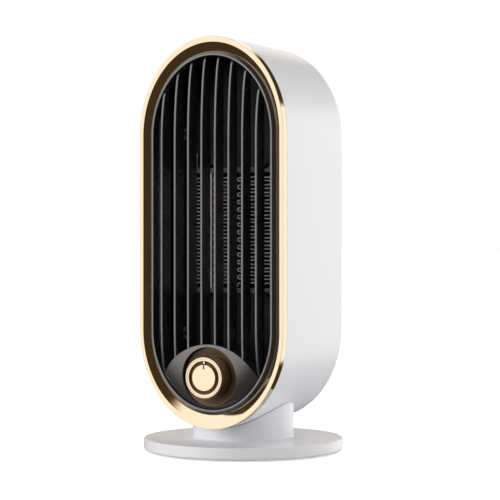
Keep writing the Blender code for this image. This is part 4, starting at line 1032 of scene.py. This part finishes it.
def studio():
    """A pale floor that glows for the camera only, more with distance, and so fades into the background."""
    floor_mesh = bpy.data.meshes.new("floor")
    corners = [(x * FLOOR_REACH, y * FLOOR_REACH, 0) for x, y in ((-1, -1), (1, -1), (1, 1), (-1, 1))]
    floor_mesh.from_pydata(corners, [], [(0, 1, 2, 3)])
    floor = bpy.data.objects.new("floor", floor_mesh)
    bpy.context.scene.collection.objects.link(floor)
    finish, nodes, links, shader = new_material("floor_white", (0.86, 0.86, 0.87), 0.9)
    shader.inputs["Specular IOR Level"].default_value = 0.0
    shader.inputs["Emission Color"].default_value = (1.0, 1.0, 1.0, 1.0)
    where = nodes.new("ShaderNodeTexCoord")
    distance = nodes.new("ShaderNodeVectorMath")
    distance.operation = "LENGTH"
    links.new(where.outputs["Object"], distance.inputs[0])
    fade = nodes.new("ShaderNodeMapRange")
    fade.inputs["From Min"].default_value = FADE_START
    fade.inputs["From Max"].default_value = FADE_END
    fade.inputs["To Min"].default_value = FLOOR_NEAR
    fade.inputs["To Max"].default_value = FLOOR_FAR
    links.new(distance.outputs["Value"], fade.inputs["Value"])
    path = nodes.new("ShaderNodeLightPath")
    glow = join_math(nodes, links, "MULTIPLY", path.outputs["Is Camera Ray"], fade.outputs["Result"])
    links.new(glow, shader.inputs["Emission Strength"])
    floor_mesh.materials.append(finish)
    floor.visible_glossy = False


def lobe(nodes, links, direction, start, end):
    """A soft patch of light in the sky, rising while the cosine to its direction goes from start to end."""
    where = nodes.new("ShaderNodeTexCoord")
    dot = nodes.new("ShaderNodeVectorMath")
    dot.operation = "DOT_PRODUCT"
    dot.inputs[1].default_value = Vector(direction).normalized()
    links.new(where.outputs["Generated"], dot.inputs[0])
    reach = nodes.new("ShaderNodeMapRange")
    reach.interpolation_type = "SMOOTHSTEP"
    reach.inputs["From Min"].default_value = start
    reach.inputs["From Max"].default_value = end
    links.new(dot.outputs["Value"], reach.inputs["Value"])
    return reach.outputs["Result"]


def level_band(nodes, links, start, end):
    """1 for directions near the horizon, falling to 0 as they rise or dip past end."""
    where = nodes.new("ShaderNodeTexCoord")
    split = nodes.new("ShaderNodeSeparateXYZ")
    links.new(where.outputs["Generated"], split.inputs["Vector"])
    size = nodes.new("ShaderNodeMath")
    size.operation = "ABSOLUTE"
    links.new(split.outputs["Z"], size.inputs[0])
    reach = nodes.new("ShaderNodeMapRange")
    reach.interpolation_type = "SMOOTHSTEP"
    reach.inputs["From Min"].default_value = start
    reach.inputs["From Max"].default_value = end
    reach.inputs["To Min"].default_value = 1.0
    reach.inputs["To Max"].default_value = 0.0
    links.new(size.outputs["Value"], reach.inputs["Value"])
    return reach.outputs["Result"]


def join_math(nodes, links, operation, a, b):
    step = nodes.new("ShaderNodeMath")
    step.operation = operation
    links.new(a, step.inputs[0])
    links.new(b, step.inputs[1])
    return step.outputs["Value"]


def bearing(azimuth, elevation=0.0):
    """A direction by its azimuth from straight ahead of the grille, toward +X, and its elevation."""
    a, e = math.radians(azimuth), math.radians(elevation)
    return (math.sin(a) * math.cos(e), -math.cos(a) * math.cos(e), math.sin(e))


def world():
    """Soft patches of light in a dark sky, and plain white where the camera sees past the object."""
    made = bpy.data.worlds.new("studio")
    bpy.context.scene.world = made
    made.use_nodes = True
    nodes, links = made.node_tree.nodes, made.node_tree.links
    nodes.clear()
    front_left = lobe(nodes, links, bearing(-32, 20), start=0.76, end=0.87)
    behind = lobe(nodes, links, bearing(160), start=0.80, end=0.95)
    behind = join_math(nodes, links, "MULTIPLY", behind, level_band(nodes, links, start=0.24, end=0.29))
    behind_left = lobe(nodes, links, bearing(-152, 27), start=0.93, end=0.985)
    total = join_math(nodes, links, "MAXIMUM", front_left, behind)
    total = join_math(nodes, links, "MAXIMUM", total, behind_left)
    warm = nodes.new("ShaderNodeVectorMath")
    warm.operation = "POWER"
    warm.inputs[1].default_value = SKY_WARMTH
    links.new(total, warm.inputs[0])
    colour = nodes.new("ShaderNodeVectorMath")
    colour.operation = "MULTIPLY_ADD"
    colour.inputs[1].default_value = (SKY, SKY, SKY)
    colour.inputs[2].default_value = SHADE
    links.new(warm.outputs["Vector"], colour.inputs[0])
    glow = nodes.new("ShaderNodeBackground")
    links.new(colour.outputs["Vector"], glow.inputs["Color"])
    seen = nodes.new("ShaderNodeBackground")
    seen.inputs["Color"].default_value = (1.0, 1.0, 1.0, 1.0)
    path = nodes.new("ShaderNodeLightPath")
    mix = nodes.new("ShaderNodeMixShader")
    links.new(path.outputs["Is Camera Ray"], mix.inputs["Fac"])
    links.new(glow.outputs["Background"], mix.inputs[1])
    links.new(seen.outputs["Background"], mix.inputs[2])
    out = nodes.new("ShaderNodeOutputWorld")
    links.new(mix.outputs["Shader"], out.inputs["Surface"])


def softbox(name, direction, distance, size, strength, target=(0, 0, 0.125)):
    """A rectangular light aimed at the object, unseen by the camera and in mirrors."""
    light = bpy.data.lights.new(name, "AREA")
    light.shape = "RECTANGLE"
    light.size, light.size_y = size
    light.energy = strength * math.pi * size[0] * size[1]
    lamp = bpy.data.objects.new(name, light)
    bpy.context.scene.collection.objects.link(lamp)
    place = Vector(target) + Vector(direction).normalized() * distance
    lamp.location = place
    lamp.rotation_euler = (Vector(target) - place).to_track_quat("-Z", "Y").to_euler()
    lamp.visible_camera = False
    lamp.visible_glossy = False


def lights():
    softbox("side_light", bearing(106, 3), distance=1.1, size=(0.7, 0.5), strength=SIDE_BOX)
    softbox("top_light", (0.3, 0.4, 1.0), distance=1.2, size=(1.0, 1.0), strength=TOP_BOX)
    softbox("key_light", bearing(-40, 9), distance=1.3, size=(0.8, 0.6), strength=KEY_BOX)


def camera():
    data = bpy.data.cameras.new("camera")
    data.lens = CAMERA_LENS
    data.sensor_width = SENSOR_WIDTH
    data.shift_y = CAMERA_SHIFT
    made = bpy.data.objects.new("camera", data)
    bpy.context.scene.collection.objects.link(made)
    made.location = CAMERA_PLACE
    made.rotation_euler = (math.pi / 2, 0, math.radians(CAMERA_AZIMUTH))
    bpy.context.scene.camera = made
    bpy.context.scene.view_settings.view_transform = "Standard"


camera()
finish_cad_nodes()
bezel()
front_shell()
rear_shell()
intake_screen()
grille()
dish()
knob()
pedestal()
base_cover()
feet()
heater_fins()
heater_tubes()
heater_caps()
screws()
gland()
motor()
studio()
world()
lights()
